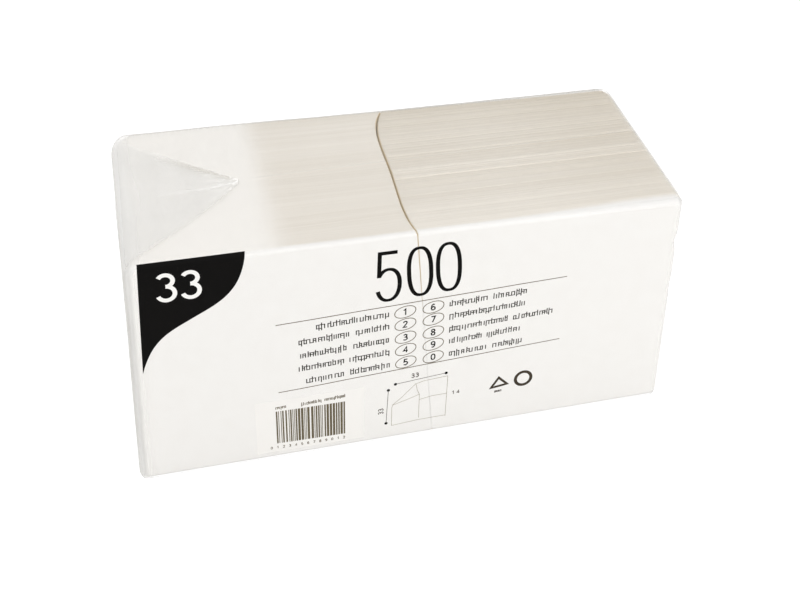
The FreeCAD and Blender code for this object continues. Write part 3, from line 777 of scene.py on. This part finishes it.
def flap(corner_a, corner_b, tip, bends, liveliness):
    """A triangular flap: its flat points, and each point's relief, milkiness and painted fold shade.

    A row goes from one side to the other. Each side runs from its corner to the tip, and falls short of a
    straight line by a power of the share that is left. The relief is a weld bead in the middle, rolled
    edges, rays that meet at the tip and, near it, crumples. The two creased sides are milky, and painted
    grey as shade. The crumples near the tip get painted glints: whiter spots without the grey.
    """
    corner_a, corner_b, tip = (np.asarray(v, float) for v in (corner_a, corner_b, tip))
    along = np.linspace(0, 0.985, EAR_ROWS)[:, None]
    across = (np.sin(np.linspace(-np.pi / 2, np.pi / 2, EAR_COLUMNS)) + 1)[None] / 2
    side_a = corner_a + along[..., None] * (tip - corner_a)
    side_b = corner_b + along[..., None] * (tip - corner_b)
    middle = (side_a + side_b) / 2
    side_a = middle + (side_a - middle) * ((1 - along) ** (bends[0] - 1))[..., None]
    side_b = middle + (side_b - middle) * ((1 - along) ** (bends[1] - 1))[..., None]
    flat = side_a * (1 - across[..., None]) + side_b * across[..., None]
    centred = 2 * across - 1
    to_tip = np.linalg.norm(flat - tip, axis=-1)
    angle = centred * np.ones_like(along)
    from_middle = centred * (1 - along) * 70
    weld = 0.30 * bell(from_middle, 1.1)
    rolled = 0.40 * bell(1 - np.abs(centred), 0.06) * np.clip((1 - along) * 6, 0, 1)
    rays = 1 + np.sin(angle * RAYS_TURN + 2.5 * ripples(flat, 40 * MM, 31))
    rays = 0.35 * rays * bell(to_tip - 22 * MM, 30 * MM)
    facets = np.abs(ripples(flat, 7 * MM, 33) + 0.6 * ripples(flat, 3.2 * MM, 34))
    relief = (weld + rolled + rays + 0.4 * facets * bell(to_tip, 15 * MM)) * liveliness * MM
    streaks = 0.03 * ripples(flat * (1, 0.15, 1), 9 * MM, 35) + 0.03 * ripples(flat, 35 * MM, 36)
    back_crease = bell((centred - 0.93) * (1 - along * 0.8) * 9, 0.8) * ease(along * 1.6)
    front_crease = bell((centred + 1) * (1 - along * 0.8) * 9, 0.8)
    # painted highlight: white glints on the crumples near the tip
    painted_glints = np.clip(facets - 0.55, 0, 1) * bell(to_tip - 6 * MM, 12 * MM)
    milk = 0.12 + streaks + 0.16 * bell(from_middle, 0.7) + 0.22 * back_crease + 0.12 * front_crease
    milk = milk + 0.35 * painted_glints
    # painted shade: grey along the creased sides, none on the weld or the glints
    fold = 0.06 + 0.48 * back_crease * ease(along * 1.3) + 0.12 * front_crease
    fold = fold * (1 - bell(from_middle, 0.8)) * np.clip(1 - 6 * painted_glints, 0, 1)
    return flat, relief, np.clip(milk, 0.02, 0.9), np.clip(fold, 0, 1)


def ear(name, corner_a, corner_b, tip, normal, bends=(1.0, 1.0), liveliness=1.0, drape=None):
    """Makes a flap into a piece. drape may bend its flat points onto the bag before the relief is added."""
    flat, relief, milk, fold = flap(corner_a, corner_b, tip, bends, liveliness)
    if drape is not None:
        flat = drape(flat)
    normal = np.array(normal, float)
    lift = relief + 0.5 * LAYER
    points, faces = slab(flat + normal * lift[..., None], normal, np.full(lift.shape, WALL))
    values = {key: np.concatenate([v, v[:, ::-1]], 1) for key, v in (("milk", milk), ("fold", fold))}
    finish_film(make_piece(name, settle(points), faces, values))


def drape_on_top(flat):
    """Bends the ear on top over the bag's rounded left and front edges, and rests it on the film's waves."""
    bent = flat.copy()
    up = np.broadcast_to(np.array([0, 0, 1.0]), flat.shape)
    over_left = pressed_in(flat[..., 0] - bag_left, LEFT_TURN["top"])
    over_front = pressed_in(flat[..., 1] - bag_front, LONG_EDGE)
    bent[..., 2] += film_rise(flat, up) - (over_left + over_front)
    return bent


EAR_FRONT, EAR_BACK = (-171.0 * MM, -70.6 * MM), (-169.0 * MM, 64.0 * MM)
EAR_TIP = (-97.3 * MM, middle_depth + 2.85 * MM)
ear("ear_on_top", (*EAR_FRONT, bag_top), (*EAR_BACK, bag_top), (*EAR_TIP, bag_top), (0, 0, 1),
    bends=(0.80, 1.03), drape=drape_on_top)

# %% [markdown]
# The other three ears are out of sight in the photograph. They follow the model: one lies under the pack,
# inside the fold of the film, and two lie flat on the right end, with their tips towards its middle.

# %% The other ears
right_edge = RIGHT_TURN["top"]
ear_reach = half_depth - right_edge
under_start = bag_left + LEFT_TURN["foot"]
below = bag_foot + WALL
ear("ear_below", (under_start, bag_front + 8 * MM, below), (under_start, bag_back - 8 * MM, below),
    (under_start + ear_reach, middle_depth, below), (0, 0, 1), liveliness=0.05)
end_face = bag_right + 0.75 * MM
for name, base, tip_height in (
    ("ear_right_upper", bag_top - right_edge, bag_top - right_edge - ear_reach),
    ("ear_right_lower", bag_foot + right_edge, bag_foot + right_edge + ear_reach),
):
    ear(name, (end_face, bag_front + right_edge, base), (end_face, bag_back - right_edge, base),
        (end_face, middle_depth, tip_height), (1, 0, 0), liveliness=0.55)

# %% [markdown]
# ## The welds
# A heated bar presses the film together into a stiff strip with fine cross ribs. The strip on each end is
# folded flat. Each is a thin slab whose outer face carries the ribs.

# %% End welds
RIB_PITCH, RIB_HEIGHT, WELD_WIDTH, WELD_THICKNESS = 1.6 * MM, 0.10 * MM, 7 * MM, 0.10 * MM
WAVER, WAVER_LENGTH = 0.6 * MM, 19 * MM


def end_weld(name, end, outward, turn, proud):
    """A ribbed strip down the middle of an end. It stands a little proud of it, and wavers as it goes."""
    height = np.arange(bag_foot + turn, bag_top - turn, RIB_PITCH / 4)
    depth = middle_depth + np.linspace(0, WELD_WIDTH, 9)
    grid = np.zeros((len(height), len(depth), 3))
    grid[..., 0] = end + outward * proud
    grid[..., 1] = depth[None] + WAVER * np.sin(height / WAVER_LENGTH)[:, None]
    grid[..., 2] = height[:, None]
    ribs = RIB_HEIGHT / 2 * (1 + np.sin(2 * np.pi * height / RIB_PITCH))[:, None] + WELD_THICKNESS
    points, faces = slab(grid, np.array([outward, 0, 0]), ribs * np.ones_like(depth))
    milk = np.full(len(points), 0.30)
    finish_film(make_piece(name, settle(points), faces, {"milk": milk, "fold": 0 * milk}))


end_weld("weld_left", bag_left, -1, LEFT_TURN["top"], 0.40 * MM)
end_weld("weld_right", bag_right, 1, RIGHT_TURN["top"], 1.5 * MM)

# %% [markdown]
# ### Printing inks
# The print is flexographic ink on the film. A large field of black is dense. Thin lines print weaker, and
# light that spreads in the film and the paper round them turns them brownish, so the thinner a line is, the
# lighter is its ink. The white field under the bars is thin too, so it is hardly whiter than the paper
# behind it.

# %% Ink materials
INK_GRAIN = 0.7 * MM


def printing_ink(name, pale, deep, roughness, gloss):
    """An ink whose colour and roughness vary a little with its grain, between deep and pale."""
    material, tree = new_material(name)
    place = add_node(tree, "ShaderNodeTexCoord").outputs["Object"]
    grain = add_node(tree, "ShaderNodeTexNoise", {
        "Vector": place, "Scale": 1 / INK_GRAIN, "Detail": 2.0}).outputs["Fac"]
    colour = add_node(tree, "ShaderNodeMix", {
        "Factor": grain, "A": linear(deep), "B": linear(pale)}, data_type="RGBA").outputs["Result"]
    rough = add_node(tree, "ShaderNodeMapRange", {
        "Value": grain, "To Min": roughness - 0.06, "To Max": roughness + 0.06}).outputs["Result"]
    ink = add_node(tree, "ShaderNodeBsdfPrincipled", {
        "Base Color": colour, "Roughness": rough, "Specular IOR Level": gloss})
    add_node(tree, "ShaderNodeOutputMaterial", {"Surface": ink.outputs["BSDF"]})
    return material


black_ink = printing_ink("flexographic_ink_black", "100f0e", "0a0909", 0.5, 0.05)
line_ink = printing_ink("flexographic_ink_thin_line", "4c443a", "3a332b", 0.5, 0.05)
word_ink = printing_ink("flexographic_ink_fine_print", "2c261f", "1d1915", 0.5, 0.05)
grey_ink = printing_ink("flexographic_ink_hairline", "766c58", "564e3e", 0.6, 0.05)
faint_ink = printing_ink("flexographic_ink_faint", "aaa291", "8f8674", 0.6, 0.05)
white_ink = printing_ink("flexographic_ink_white", "f8f7f4", "f3f2ef", 0.45, 0.3)
thin_white = printing_ink("flexographic_ink_white_thin", "f5f3f0", "f1efeb", 0.6, 0.1)

# %% [markdown]
# ## The print
# Print is drawn flat first, as points (x along the pack, t up the film), and then laid on the film: up to
# the rounded edge t is the height, and above it t is the length of the arc. The film's own waves push it
# out, so ink and film never part. The places are read off the finished, leaning pack, so they are first
# moved back by the lean, and get it again with everything else. A line is a ribbon: a small rectangle
# carried along a path, with mitred corners.

# %% Ribbons of ink
INK_LIFT, INK_THICKNESS = 0.02 * MM, 0.05 * MM
SECOND_INK = INK_LIFT + INK_THICKNESS


def on_film(x, t, lift):
    """Lays flat print on the film's front. The end's turn draws it back, and the top edge bends it round."""
    flat = np.stack([x, np.full(len(x), bag_front), np.minimum(t, bag_top - LONG_EDGE)], -1)
    x = x - (settle(flat) - flat)[:, 0]
    past = np.clip(t - (bag_top - LONG_EDGE), 0, None) / LONG_EDGE
    back = pressed_in(x - bag_left, LEFT_TURN["front"])
    spot = np.stack([x, bag_front + back + LONG_EDGE * (1 - np.cos(past)),
                     np.where(past > 0, bag_top - LONG_EDGE + LONG_EDGE * np.sin(past), t)], -1)
    direction = np.stack([0 * x, -np.cos(past), np.sin(past)], -1)
    return settle(spot + direction * (film_rise(spot, direction) + lift)[..., None])


def ribbon(path, width, closed=False):
    """A line of ink along a path: four corners at each point, half the width to either side of it.

    The side direction is square to the mean of the two runs that meet there, and is longer at a sharp
    corner by one over the cosine of half the turn.
    """
    path = np.asarray(path, float)
    ahead = unit(np.roll(path, -1, 0) - path)
    behind = np.roll(ahead, 1, 0)
    if not closed:
        ahead[-1], behind[0] = behind[-1], ahead[0]
    mean = unit(ahead + behind)
    mitre = 1 / np.clip((mean * ahead).sum(1), 0.5, 1)
    side = np.stack([-mean[:, 1], mean[:, 0]], 1) * (mitre * np.asarray(width) / 2)[:, None]
    corners = np.stack([path + side, path - side, path - side, path + side], 1)
    lifts = np.broadcast_to([0, 0, 1, 1], corners.shape[:2])
    points = np.concatenate([corners, lifts[..., None]], -1).reshape(-1, 3)
    count = len(path)
    faces = grid_faces(count + 1, 4) % (4 * count) if closed else grid_faces(count, 4)
    if not closed:
        faces = np.concatenate([faces, [[0, 1, 2, 3]], [[4 * count - 4 + n for n in range(4)]]])
    return points, faces


def path_of(*corners, step=2.5):
    """A line through corners given in millimetres, with a point at least every step."""
    corners = np.array(corners, float)
    runs = []
    for start, end in zip(corners[:-1], corners[1:]):
        count = max(1, int(np.linalg.norm(end - start) / step))
        runs.append(start + (end - start) * np.arange(count)[:, None] / count)
    return np.concatenate(runs + [corners[-1:]]) * MM


def oval(centre, half_width, half_height, power=2.0, start=0.0, sweep=360.0, count=64):
    """A superellipse in millimetres: the cosine and sine of an angle to 2 over the power, sign kept."""
    angle = np.radians(start + sweep * np.linspace(0, 1, count, endpoint=sweep != 360.0))
    wide, high = (np.sign(v) * np.abs(v) ** (2 / power) for v in (np.cos(angle), np.sin(angle)))
    return np.stack([centre[0] + half_width * wide, centre[1] + half_height * high], 1) * MM


def print_piece(name, ribbons, material=black_ink, slot="black_ink", node="front_print", base=0.0):
    """Joins ribbons into one piece of print and lays it on the film, or on another ink at a base height.

    Ink that lies flat on the film takes no light from the paper beside it, so bounced light passes it by.
    """
    points, faces, total = [], [], 0
    for some_points, some_faces in ribbons:
        points.append(some_points)
        faces.append(some_faces + total)
        total += len(some_points)
    points = np.concatenate(points)
    lift = base + INK_LIFT + INK_THICKNESS * points[:, 2]
    piece = make_piece(name, on_film(points[:, 0], points[:, 1], lift), np.concatenate(faces))
    piece.data.polygons.foreach_set("use_smooth", np.zeros(len(piece.data.polygons), bool))
    piece.visible_diffuse = False
    finish_piece(piece, material, slot, node, thin=True)


# the block's slope at its lowest line and at its highest, the height of the lowest, and the way between them
CLIMB_FOOT, CLIMB_TOP, CLIMB_FROM, CLIMB_OVER = 0.050, 0.036, 59 * MM, 52 * MM


def climb(path):
    """The block was printed a little askew: it climbs to the right, its lower lines a little more."""
    path = np.array(path, float)
    share = (path[:, 1] - CLIMB_FROM) / CLIMB_OVER
    path[:, 1] += path[:, 0] * (CLIMB_FOOT - (CLIMB_FOOT - CLIMB_TOP) * share)
    return path


# %% [markdown]
# The count, 500, is set in a light condensed face. A zero is an upright superellipse whose stroke is a
# little thinner at its top and foot. The five is a bar and a stem in one mitred line, and an open bowl.

# %% The numerals
STROKE, STROKE_THIN = 2.7, 2.1
BOWL_START, BOWL_SWEEP, BOWL_POINTS = 148, -310, 60
ZERO_CENTRES, ZERO_POINTS, ZERO_SLANT = ((0.8, 134.8), (18.9, 134.9)), 90, 0.058


def stroke_width(angle):
    """A numeral's stroke, thin at the top and the foot and full at the sides, by the cosine of the angle."""
    return (STROKE_THIN + (STROKE - STROKE_THIN) * np.abs(np.cos(angle))) * MM


def numerals():
    """The five, then two leaning zeros, each at its own place on the film."""
    top = path_of((-13.6, 152.1), (-24.4, 152.3), (-24.7, 134.6))
    bowl = oval((-18.7, 128.4), 6.9, 11.6, 2.2, BOWL_START, BOWL_SWEEP, BOWL_POINTS)
    round_bowl = np.radians(BOWL_START + BOWL_SWEEP * np.linspace(0, 1, BOWL_POINTS))
    made = [ribbon(climb(top), STROKE * MM * 0.95), ribbon(climb(bowl), stroke_width(round_bowl))]
    round_zero = np.linspace(0, 2 * np.pi, ZERO_POINTS, endpoint=False)
    for centre in ZERO_CENTRES:
        zero = oval(centre, 6.9, 17.8, 2.5, count=ZERO_POINTS)
        zero[:, 0] += (centre[1] * MM - zero[:, 1]) * ZERO_SLANT
        made.append(ribbon(climb(zero), stroke_width(round_zero), closed=True))
    return made


print_piece("count_numerals", numerals())

# %% [markdown]
# Small plain numbers stand in the ovals, beside the drawing and under the bars. Each digit, from 0 to 9, is
# one line on a little grid, one unit high.

# %% Plain digits
DIGITS = (
    ((0.30, 0), (0.12, 0.10), (0.04, 0.35), (0.04, 0.65), (0.12, 0.90), (0.30, 1),
     (0.48, 0.90), (0.56, 0.65), (0.56, 0.35), (0.48, 0.10), (0.30, 0)),
    ((0.10, 0.76), (0.38, 1), (0.38, 0)),
    ((0.05, 0.76), (0.14, 0.94), (0.32, 1), (0.50, 0.92), (0.55, 0.74), (0.44, 0.52), (0.04, 0), (0.58, 0)),
    ((0.05, 0.88), (0.28, 1), (0.50, 0.88), (0.48, 0.62), (0.26, 0.54), (0.52, 0.44),
     (0.56, 0.18), (0.30, 0), (0.03, 0.12)),
    ((0.45, 0), (0.45, 1), (0.02, 0.30), (0.62, 0.30)),
    ((0.54, 1), (0.12, 1), (0.08, 0.54), (0.32, 0.62), (0.54, 0.46), (0.54, 0.18), (0.30, 0), (0.03, 0.10)),
    ((0.50, 0.92), (0.30, 1), (0.10, 0.80), (0.04, 0.30), (0.14, 0.06), (0.32, 0),
     (0.54, 0.14), (0.54, 0.42), (0.34, 0.58), (0.08, 0.44)),
    ((0.03, 1), (0.58, 1), (0.22, 0)),
    ((0.30, 0.54), (0.08, 0.70), (0.12, 0.94), (0.30, 1), (0.48, 0.94), (0.52, 0.70), (0.30, 0.54),
     (0.04, 0.34), (0.10, 0.06), (0.30, 0), (0.50, 0.06), (0.56, 0.34), (0.30, 0.54)),
    ((0.10, 0.08), (0.30, 0), (0.50, 0.20), (0.56, 0.70), (0.46, 0.94), (0.28, 1),
     (0.06, 0.86), (0.06, 0.58), (0.26, 0.42), (0.52, 0.56)),
)


def number(digits, corner, height, stroke, pitch=0.82, upright=True):
    """Digits from a lower left corner, in millimetres, either upright or turned to read from the foot up."""
    made = []
    for place, digit in enumerate(digits):
        glyph = (np.array(DIGITS[digit]) + (place * pitch, 0)) * height
        if not upright:
            glyph = np.stack([-glyph[:, 1], glyph[:, 0]], 1)
        made.append(ribbon(climb((glyph + corner) * MM), stroke * MM))
    return made


# %% [markdown]
# Below the numerals two thin rules frame five rows. Each row has, on either side of the middle, an open
# oval with a digit and a run of small upright strokes. Some strokes are joined at the top or at the foot,
# so that a run has the grey texture of fine print and says nothing.

# %% Rules, rows and ovals
RULE_WIDTH, OVAL_LINE, WORD_STROKE = 0.56, 0.54, 0.66
WORD_PITCH, WORD_HEIGHT, WORD_TALL = 1.66, 3.4, 1.2
ROW_HEIGHTS = (105.4, 95.6, 85.1, 75.0, 64.6)
LEFT_STARTS = (-63.2, -74.5, -74.1, -75.6, -71.5)
RIGHT_ENDS = (71.9, 70.1, 89.4, 67.8, 71.3)
LEFT_BREAKS = (None, -40.5, -42.0, -44.5, -44.0)
RIGHT_BREAKS = (47.5, None, 62.0, 45.0, 49.5)
LEFT_END, RIGHT_START, OVAL_MIDDLES = -17.4, 21.0, (-7.7, 10.3)
ROW_DRIFT, OVAL_SLANT = 0.034, 0.10
RULE_HEIGHTS, RULE_ENDS = (111.9, 59.5), (-88, 97.5)


def strokes(start, end, height, random, gap=None, size=1.0, stroke=WORD_STROKE):
    """A run of upright strokes from start to end, in millimetres, about a middle height, with a gap or none.

    A few strokes reach higher or lower. A stroke may be joined to the one before it at one or two levels.
    """
    made, pitch, half = [], WORD_PITCH * size, WORD_HEIGHT * size / 2
    tall, place, joins = WORD_TALL * size, start, ()
    upper, lower = height + half - stroke / 2, height - half + stroke / 2
    kinds = ((upper,), (upper,), (lower,), (upper, lower), (upper, height), (), ())
    while place < end:
        if gap is not None and abs(place - gap) < 1.1 * pitch:
            place, joins = gap + 1.2 * pitch, ()
        foot = height - half - tall * (random.random() < 0.10)
        top = height + half + tall * (random.random() < 0.24)
        made.append(ribbon(climb(path_of((place, foot), (place, top))), stroke * MM))
        for level in joins:
            made.append(ribbon(climb(path_of((place - step, level), (place, level))), stroke * MM * 0.85))
        joins = kinds[random.integers(len(kinds))]
        step = pitch * random.uniform(0.75, 1.3)
        place += step
    return made


def rows():
    """Five rows: a run of strokes, two ovals with a digit each, and another run.

    Each lower row drifts a little to the right. An oval climbs more than the rows do, by its own slant.
    """
    random = np.random.default_rng(5)
    words, ovals, marks = [], [], []
    for row, height in enumerate(ROW_HEIGHTS):
        drift = ROW_DRIFT * (ROW_HEIGHTS[0] - height)
        words += strokes(LEFT_STARTS[row] + drift, LEFT_END + drift, height, random, LEFT_BREAKS[row])
        words += strokes(RIGHT_START + drift, RIGHT_ENDS[row] + drift, height, random, RIGHT_BREAKS[row])
        for side, middle in enumerate(OVAL_MIDDLES):
            x = middle + drift
            path = climb(oval((x, height), 6.7, 4.4, 2.1, count=40))
            path[:, 1] += (path[:, 0] - x * MM) * OVAL_SLANT
            ovals.append(ribbon(path, OVAL_LINE * MM, closed=True))
            marks += number([(row + 1 + 5 * side) % 10], (x - 1.5, height - 2.3), 4.6, 0.85)
    return words, ovals, marks


words, ovals, row_numbers = rows()
print_piece("word_rows", words, word_ink)
print_piece("row_ovals", ovals, grey_ink)
print_piece("row_numbers", row_numbers)
print_piece("rules", [ribbon(climb(path_of(*((x, height) for x in RULE_ENDS))), RULE_WIDTH * MM)
                      for height in RULE_HEIGHTS], grey_ink)

# %% [markdown]
# The bars stand on a field of white, printed apart from the rest and level with the pack's foot. Their
# widths come from a seeded draw, so they carry no number. Two short runs of strokes stand above them, and
# under them plain digits that just count.

# %% Bars on a white field
WHITE_ENDS, WHITE_LEVELS = (-103.3, -33.5), (5.5, 48.5)
MODULE = 0.50
# the place, the foot and the top of the first bar and of the last
BARS = ((-90.4, 12.4, 39.7), (-44.6, 11.5, 39.2))
# where the first digit of the row under the bars stands, and the step from one digit to the next
COUNTING_START, COUNTING_STEP, COUNTING_DIGITS = np.array([-94.6, 13.9]), np.array([3.95, -0.30]), 13
CAPTION = {"size": 0.55, "stroke": 0.5}


def flat_slab(grid):
    """A field of ink as a closed slab, from a grid of flat points. Its height is 1, a whole thickness."""
    foot = np.concatenate([grid, np.zeros(grid.shape[:2] + (1,))], -1)
    return slab(foot, np.array([0, 0, 1.0]), np.ones(grid.shape[:2]))


def white_field():
    """A rectangle of white ink, on a grid fine enough to follow the film."""
    x, t = np.meshgrid(np.linspace(*WHITE_ENDS, 32), np.linspace(*WHITE_LEVELS, 22), indexing="ij")
    return [flat_slab(np.stack([x, t], -1) * MM)]


def bars():
    """Upright bars one to three modules wide, with gaps of one or two."""
    random = np.random.default_rng(8)
    (start, foot_start, top_start), (end, foot_end, top_end) = BARS
    made, place = [], start
    while place < end - 3 * MODULE:
        width = MODULE * random.choice([1, 1, 2, 2, 3])
        x = place + width / 2
        share = (x - start) / (end - start)
        foot, top = foot_start + (foot_end - foot_start) * share, top_start + (top_end - top_start) * share
        made.append(ribbon(path_of((x, foot), (x, top)), width * MM))
        place += width + MODULE * random.choice([1, 1, 2])
    return made


print_piece("white_field", white_field(), thin_white, "white_ink", "barcode_field")
caption_random = np.random.default_rng(14)
bar_captions = strokes(-90.2, -83.2, 47.2, caption_random, **CAPTION)
bar_captions += strokes(-73.8, -45.4, 46.4, caption_random, gap=-60, **CAPTION)
for step in range(COUNTING_DIGITS):
    bar_captions += number([step % 10], COUNTING_START + COUNTING_STEP * step, 1.9, 0.4)
print_piece("bars", bars(), grey_ink, base=SECOND_INK)
print_piece("bar_captions", bar_captions, grey_ink, base=SECOND_INK)

# %% [markdown]
# A line drawing shows how a napkin opens: a folded panel on the left with one corner lifted, and a flat
# panel on the right. Two measuring lines with round ends run along its top and left, with a plain 33 beside
# each. Next to it are a small plain number, a plain triangle with a short run of strokes under it, and a
# plain ring.

# %% Drawing and marks
FAINT, THIN, TRIANGLE_LINE, RING_LINE = 0.30, 0.36, 1.7, 2.2
MEASURE_ENDS = ((-12.8, 46.9), (21.0, 49.8), (-17.4, 42.7), (-18.6, 14.3))


def dot(x, t, radius):
    """A round dot: a ring half as wide as the dot, whose line is wide enough to fill it."""
    return ribbon(oval((x, t), radius / 2, radius / 2, count=14), radius * MM * 0.98, closed=True)


def drawing():
    """The lines of the two panels with the lifted corner and the fold, and the two measuring lines."""
    panels = [
        path_of((-14.9, 11.6), (-14.9, 27.0), (-14.3, 29.6), (-8.5, 34.8), (0.9, 44.7), (2.0, 38.6),
                (3.5, 35.0)),
        path_of((-14.2, 29.4), (-5.0, 32.2), (3.5, 35.0), (3.4, 14.6)),
        path_of((1.0, 44.5), (6.0, 46.0), (22.2, 47.1), (21.7, 12.5)),
        path_of((-14.9, 11.6), (3.4, 13.0), (21.7, 13.2)),
        path_of((3.5, 30.5), (12.0, 32.0), (21.9, 32.2)),
    ]
    measures = [path_of(*MEASURE_ENDS[:2]), path_of(*MEASURE_ENDS[2:])]
    return [ribbon(path, FAINT * MM) for path in panels], [ribbon(path, THIN * MM) for path in measures]


def plain_marks():
    """An open triangle and an open ring, both in a bold line."""
    corners = [(52.6, 30.4), (63.6, 32.0), (57.6, 38.4)]
    triangle = path_of(*corners, corners[0])[:-1]
    ring = oval((74.8, 34.6), 5.4, 5.6, count=48)
    return [ribbon(triangle, TRIANGLE_LINE * MM, closed=True), ribbon(ring, RING_LINE * MM, closed=True)]


panels, measures = drawing()
print_piece("napkin_drawing", panels, faint_ink)
print_piece("measuring_lines", measures, line_ink)
print_piece("measuring_ends", [dot(x, t, 1.1) for x, t in MEASURE_ENDS])
print_piece("plain_marks", plain_marks(), line_ink)
mark_random = np.random.default_rng(21)
print_piece("drawing_numbers", number([3, 3], (-2.3, 50.2), 3.4, 0.6)
            + number([3, 3], (-20.6, 24.4), 3.2, 0.55, upright=False)
            + number([1, 4], (25.6, 29.0), 2.8, 0.5, pitch=1.2)
            + strokes(55.4, 60.4, 23.4, mark_random, size=0.5, stroke=0.5),
            line_ink)

# %% [markdown]
# The corner carries a solid black field that reaches up to the film's edge and narrows to a tip in one
# double curve. A plain number stands in it.

# %% Corner field
FIELD_TOP = bag_top + 0.6 * MM
FIELD_TIP = 86.0 * MM
CORNER_STROKE = 2.6
UPPER_BEND = ((-103.4, 165.3), (-106.8, 136.4), (-121.6, 131.3), (-136.1, 123.1))
LOWER_BEND = ((-136.1, 123.1), (-149.7, 115.4), (-160.6, 111.8), (-167.9, 86.0))


def bend(controls, count=60):
    """A cubic Bezier curve in millimetres: its four controls, weighted by the terms of (1 - s + s) cubed."""
    s = np.linspace(0, 1, count)[:, None]
    weights = np.concatenate([(1 - s) ** 3, 3 * (1 - s) ** 2 * s, 3 * (1 - s) * s ** 2, s ** 3], 1)
    return weights @ np.array(controls) * MM


def field_grid():
    """The field as rows from its top edge to its tip, between a straight side and two bends that run on."""
    curve = np.concatenate([bend(UPPER_BEND), bend(LOWER_BEND)[1:]])[::-1]
    t = np.linspace(1, 0.004, 90)[:, None] ** 1.5 * (FIELD_TOP - FIELD_TIP) + FIELD_TIP
    left = (-164.1 - 3.8 * (FIELD_TOP - t) / (FIELD_TOP - FIELD_TIP)) * MM
    right = np.maximum(np.interp(t, curve[:, 1], curve[:, 0]), left + 0.05 * MM)
    across = np.linspace(0, 1, 50)[None]
    return np.stack([left + (right - left) * across, t + 0 * across], -1)


def corner_numerals():
    """The digit 3 twice, each two open bowls in one line."""
    made = []
    for centre in (-149.5, -135.5):
        upper = oval((centre, 152.6), 4.3, 4.1, 2.0, 150, -240, 26)
        lower = oval((centre, 143.6), 4.9, 4.9, 2.0, 90, -250, 26)
        made += [ribbon(bowl, CORNER_STROKE * MM) for bowl in (upper, lower)]
    return made


print_piece("corner_field", [flat_slab(field_grid())])
print_piece("corner_numerals", corner_numerals(), white_ink, "white_ink", base=SECOND_INK)

# %% [markdown]
# ## Floor and light
# The photograph was taken on a white sweep. The floor is pale, keeps the pack's soft shadow, and is lifted
# to white for the camera alone. The sky does the same: for the camera and for reflections it is white, and
# for the pack it is a soft grey, so that the lamps can shape it. One large lamp stands to the right in
# front, one hangs above, and a weaker one stands to the left.

# %% Floor, sky and lamps
FLOOR_REACH, FLOOR_POINTS, FLOOR_GRAIN = 4.0, 9, 300.0
# how much of the even white the camera sees on the floor, and how much light the sky gives the pack
EVEN_WHITE, SKY_LIGHT = 0.82, 0.72
FLOOR_GLOW = 1.2


def studio_floor():
    """Pale matt floor. The camera sees mostly an even white, and a share of the true light and shadow."""
    material, tree = new_material("studio_paper_sweep")
    light_path = add_node(tree, "ShaderNodeLightPath").outputs["Is Camera Ray"]
    place = add_node(tree, "ShaderNodeTexCoord").outputs["Object"]
    grain = add_node(tree, "ShaderNodeTexNoise", {"Vector": place, "Scale": FLOOR_GRAIN}).outputs["Fac"]
    colour = add_node(tree, "ShaderNodeMix", {
        "Factor": grain, "A": linear("efeeec"), "B": linear("f3f2f0")}, data_type="RGBA").outputs["Result"]
    matt = add_node(tree, "ShaderNodeBsdfDiffuse", {"Color": colour}).outputs["BSDF"]
    glow = add_node(tree, "ShaderNodeEmission", {"Color": (1, 1, 1, 1), "Strength": FLOOR_GLOW})
    seen = add_node(tree, "ShaderNodeMath", {0: light_path, 1: EVEN_WHITE}, operation="MULTIPLY")
    mixed = add_node(tree, "ShaderNodeMixShader", {
        0: seen.outputs["Value"], 1: matt, 2: glow.outputs["Emission"]})
    add_node(tree, "ShaderNodeOutputMaterial", {"Surface": mixed.outputs["Shader"]})
    return material


steps = np.linspace(-FLOOR_REACH, FLOOR_REACH, FLOOR_POINTS)
floor_points = np.stack(np.meshgrid(steps, steps, [0.0], indexing="ij"), -1).reshape(-1, 3)
floor = make_piece("floor", floor_points, grid_faces(FLOOR_POINTS, FLOOR_POINTS, loop=False))
floor.data.materials.append(studio_floor())


def sky():
    """A white sky to the camera and in reflections, and a softer one as light."""
    world = bpy.data.worlds.new("studio")
    bpy.context.scene.world = world
    world.use_nodes = True
    tree = world.node_tree
    tree.nodes.clear()
    rays = add_node(tree, "ShaderNodeLightPath")
    direct = add_node(tree, "ShaderNodeMath", {
        0: rays.outputs["Is Camera Ray"], 1: rays.outputs["Is Glossy Ray"]},
        operation="MAXIMUM").outputs["Value"]
    direct = add_node(tree, "ShaderNodeMath", {
        0: direct, 1: rays.outputs["Is Transmission Ray"]},
        operation="MAXIMUM").outputs["Value"]
    strength = add_node(tree, "ShaderNodeMapRange", {
        "Value": direct, "To Min": SKY_LIGHT, "To Max": 1.0}).outputs["Result"]
    light = add_node(tree, "ShaderNodeBackground", {"Color": (1, 1, 1, 1), "Strength": strength})
    add_node(tree, "ShaderNodeOutputWorld", {"Surface": light.outputs["Background"]})


def lamp(name, place, target, width, power):
    """A square soft box that points from its place to a target."""
    light = bpy.data.lights.new(name, "AREA")
    light.shape = "SQUARE"
    light.size = width
    light.energy = power
    box = bpy.data.objects.new(name, light)
    bpy.context.scene.collection.objects.link(box)
    backwards = unit(np.asarray(place, float) - np.asarray(target, float))
    right = unit(np.cross([0, 0, 1.0], backwards))
    box.matrix_world = placed([right, np.cross(backwards, right), backwards], place)


sky()
lamp("key_lamp", (0.9, -1.5, 1.15), (0.05, 0, 0.08), 0.9, 10.5)
lamp("top_lamp", (0.05, 0.15, 1.7), (0, 0, 0.16), 1.2, 5.0)
lamp("fill_lamp", (-1.3, -0.9, 1.3), (-0.1, 0, 0.08), 1.2, 3.5)
view = bpy.context.scene.view_settings
view.view_transform = "Standard"
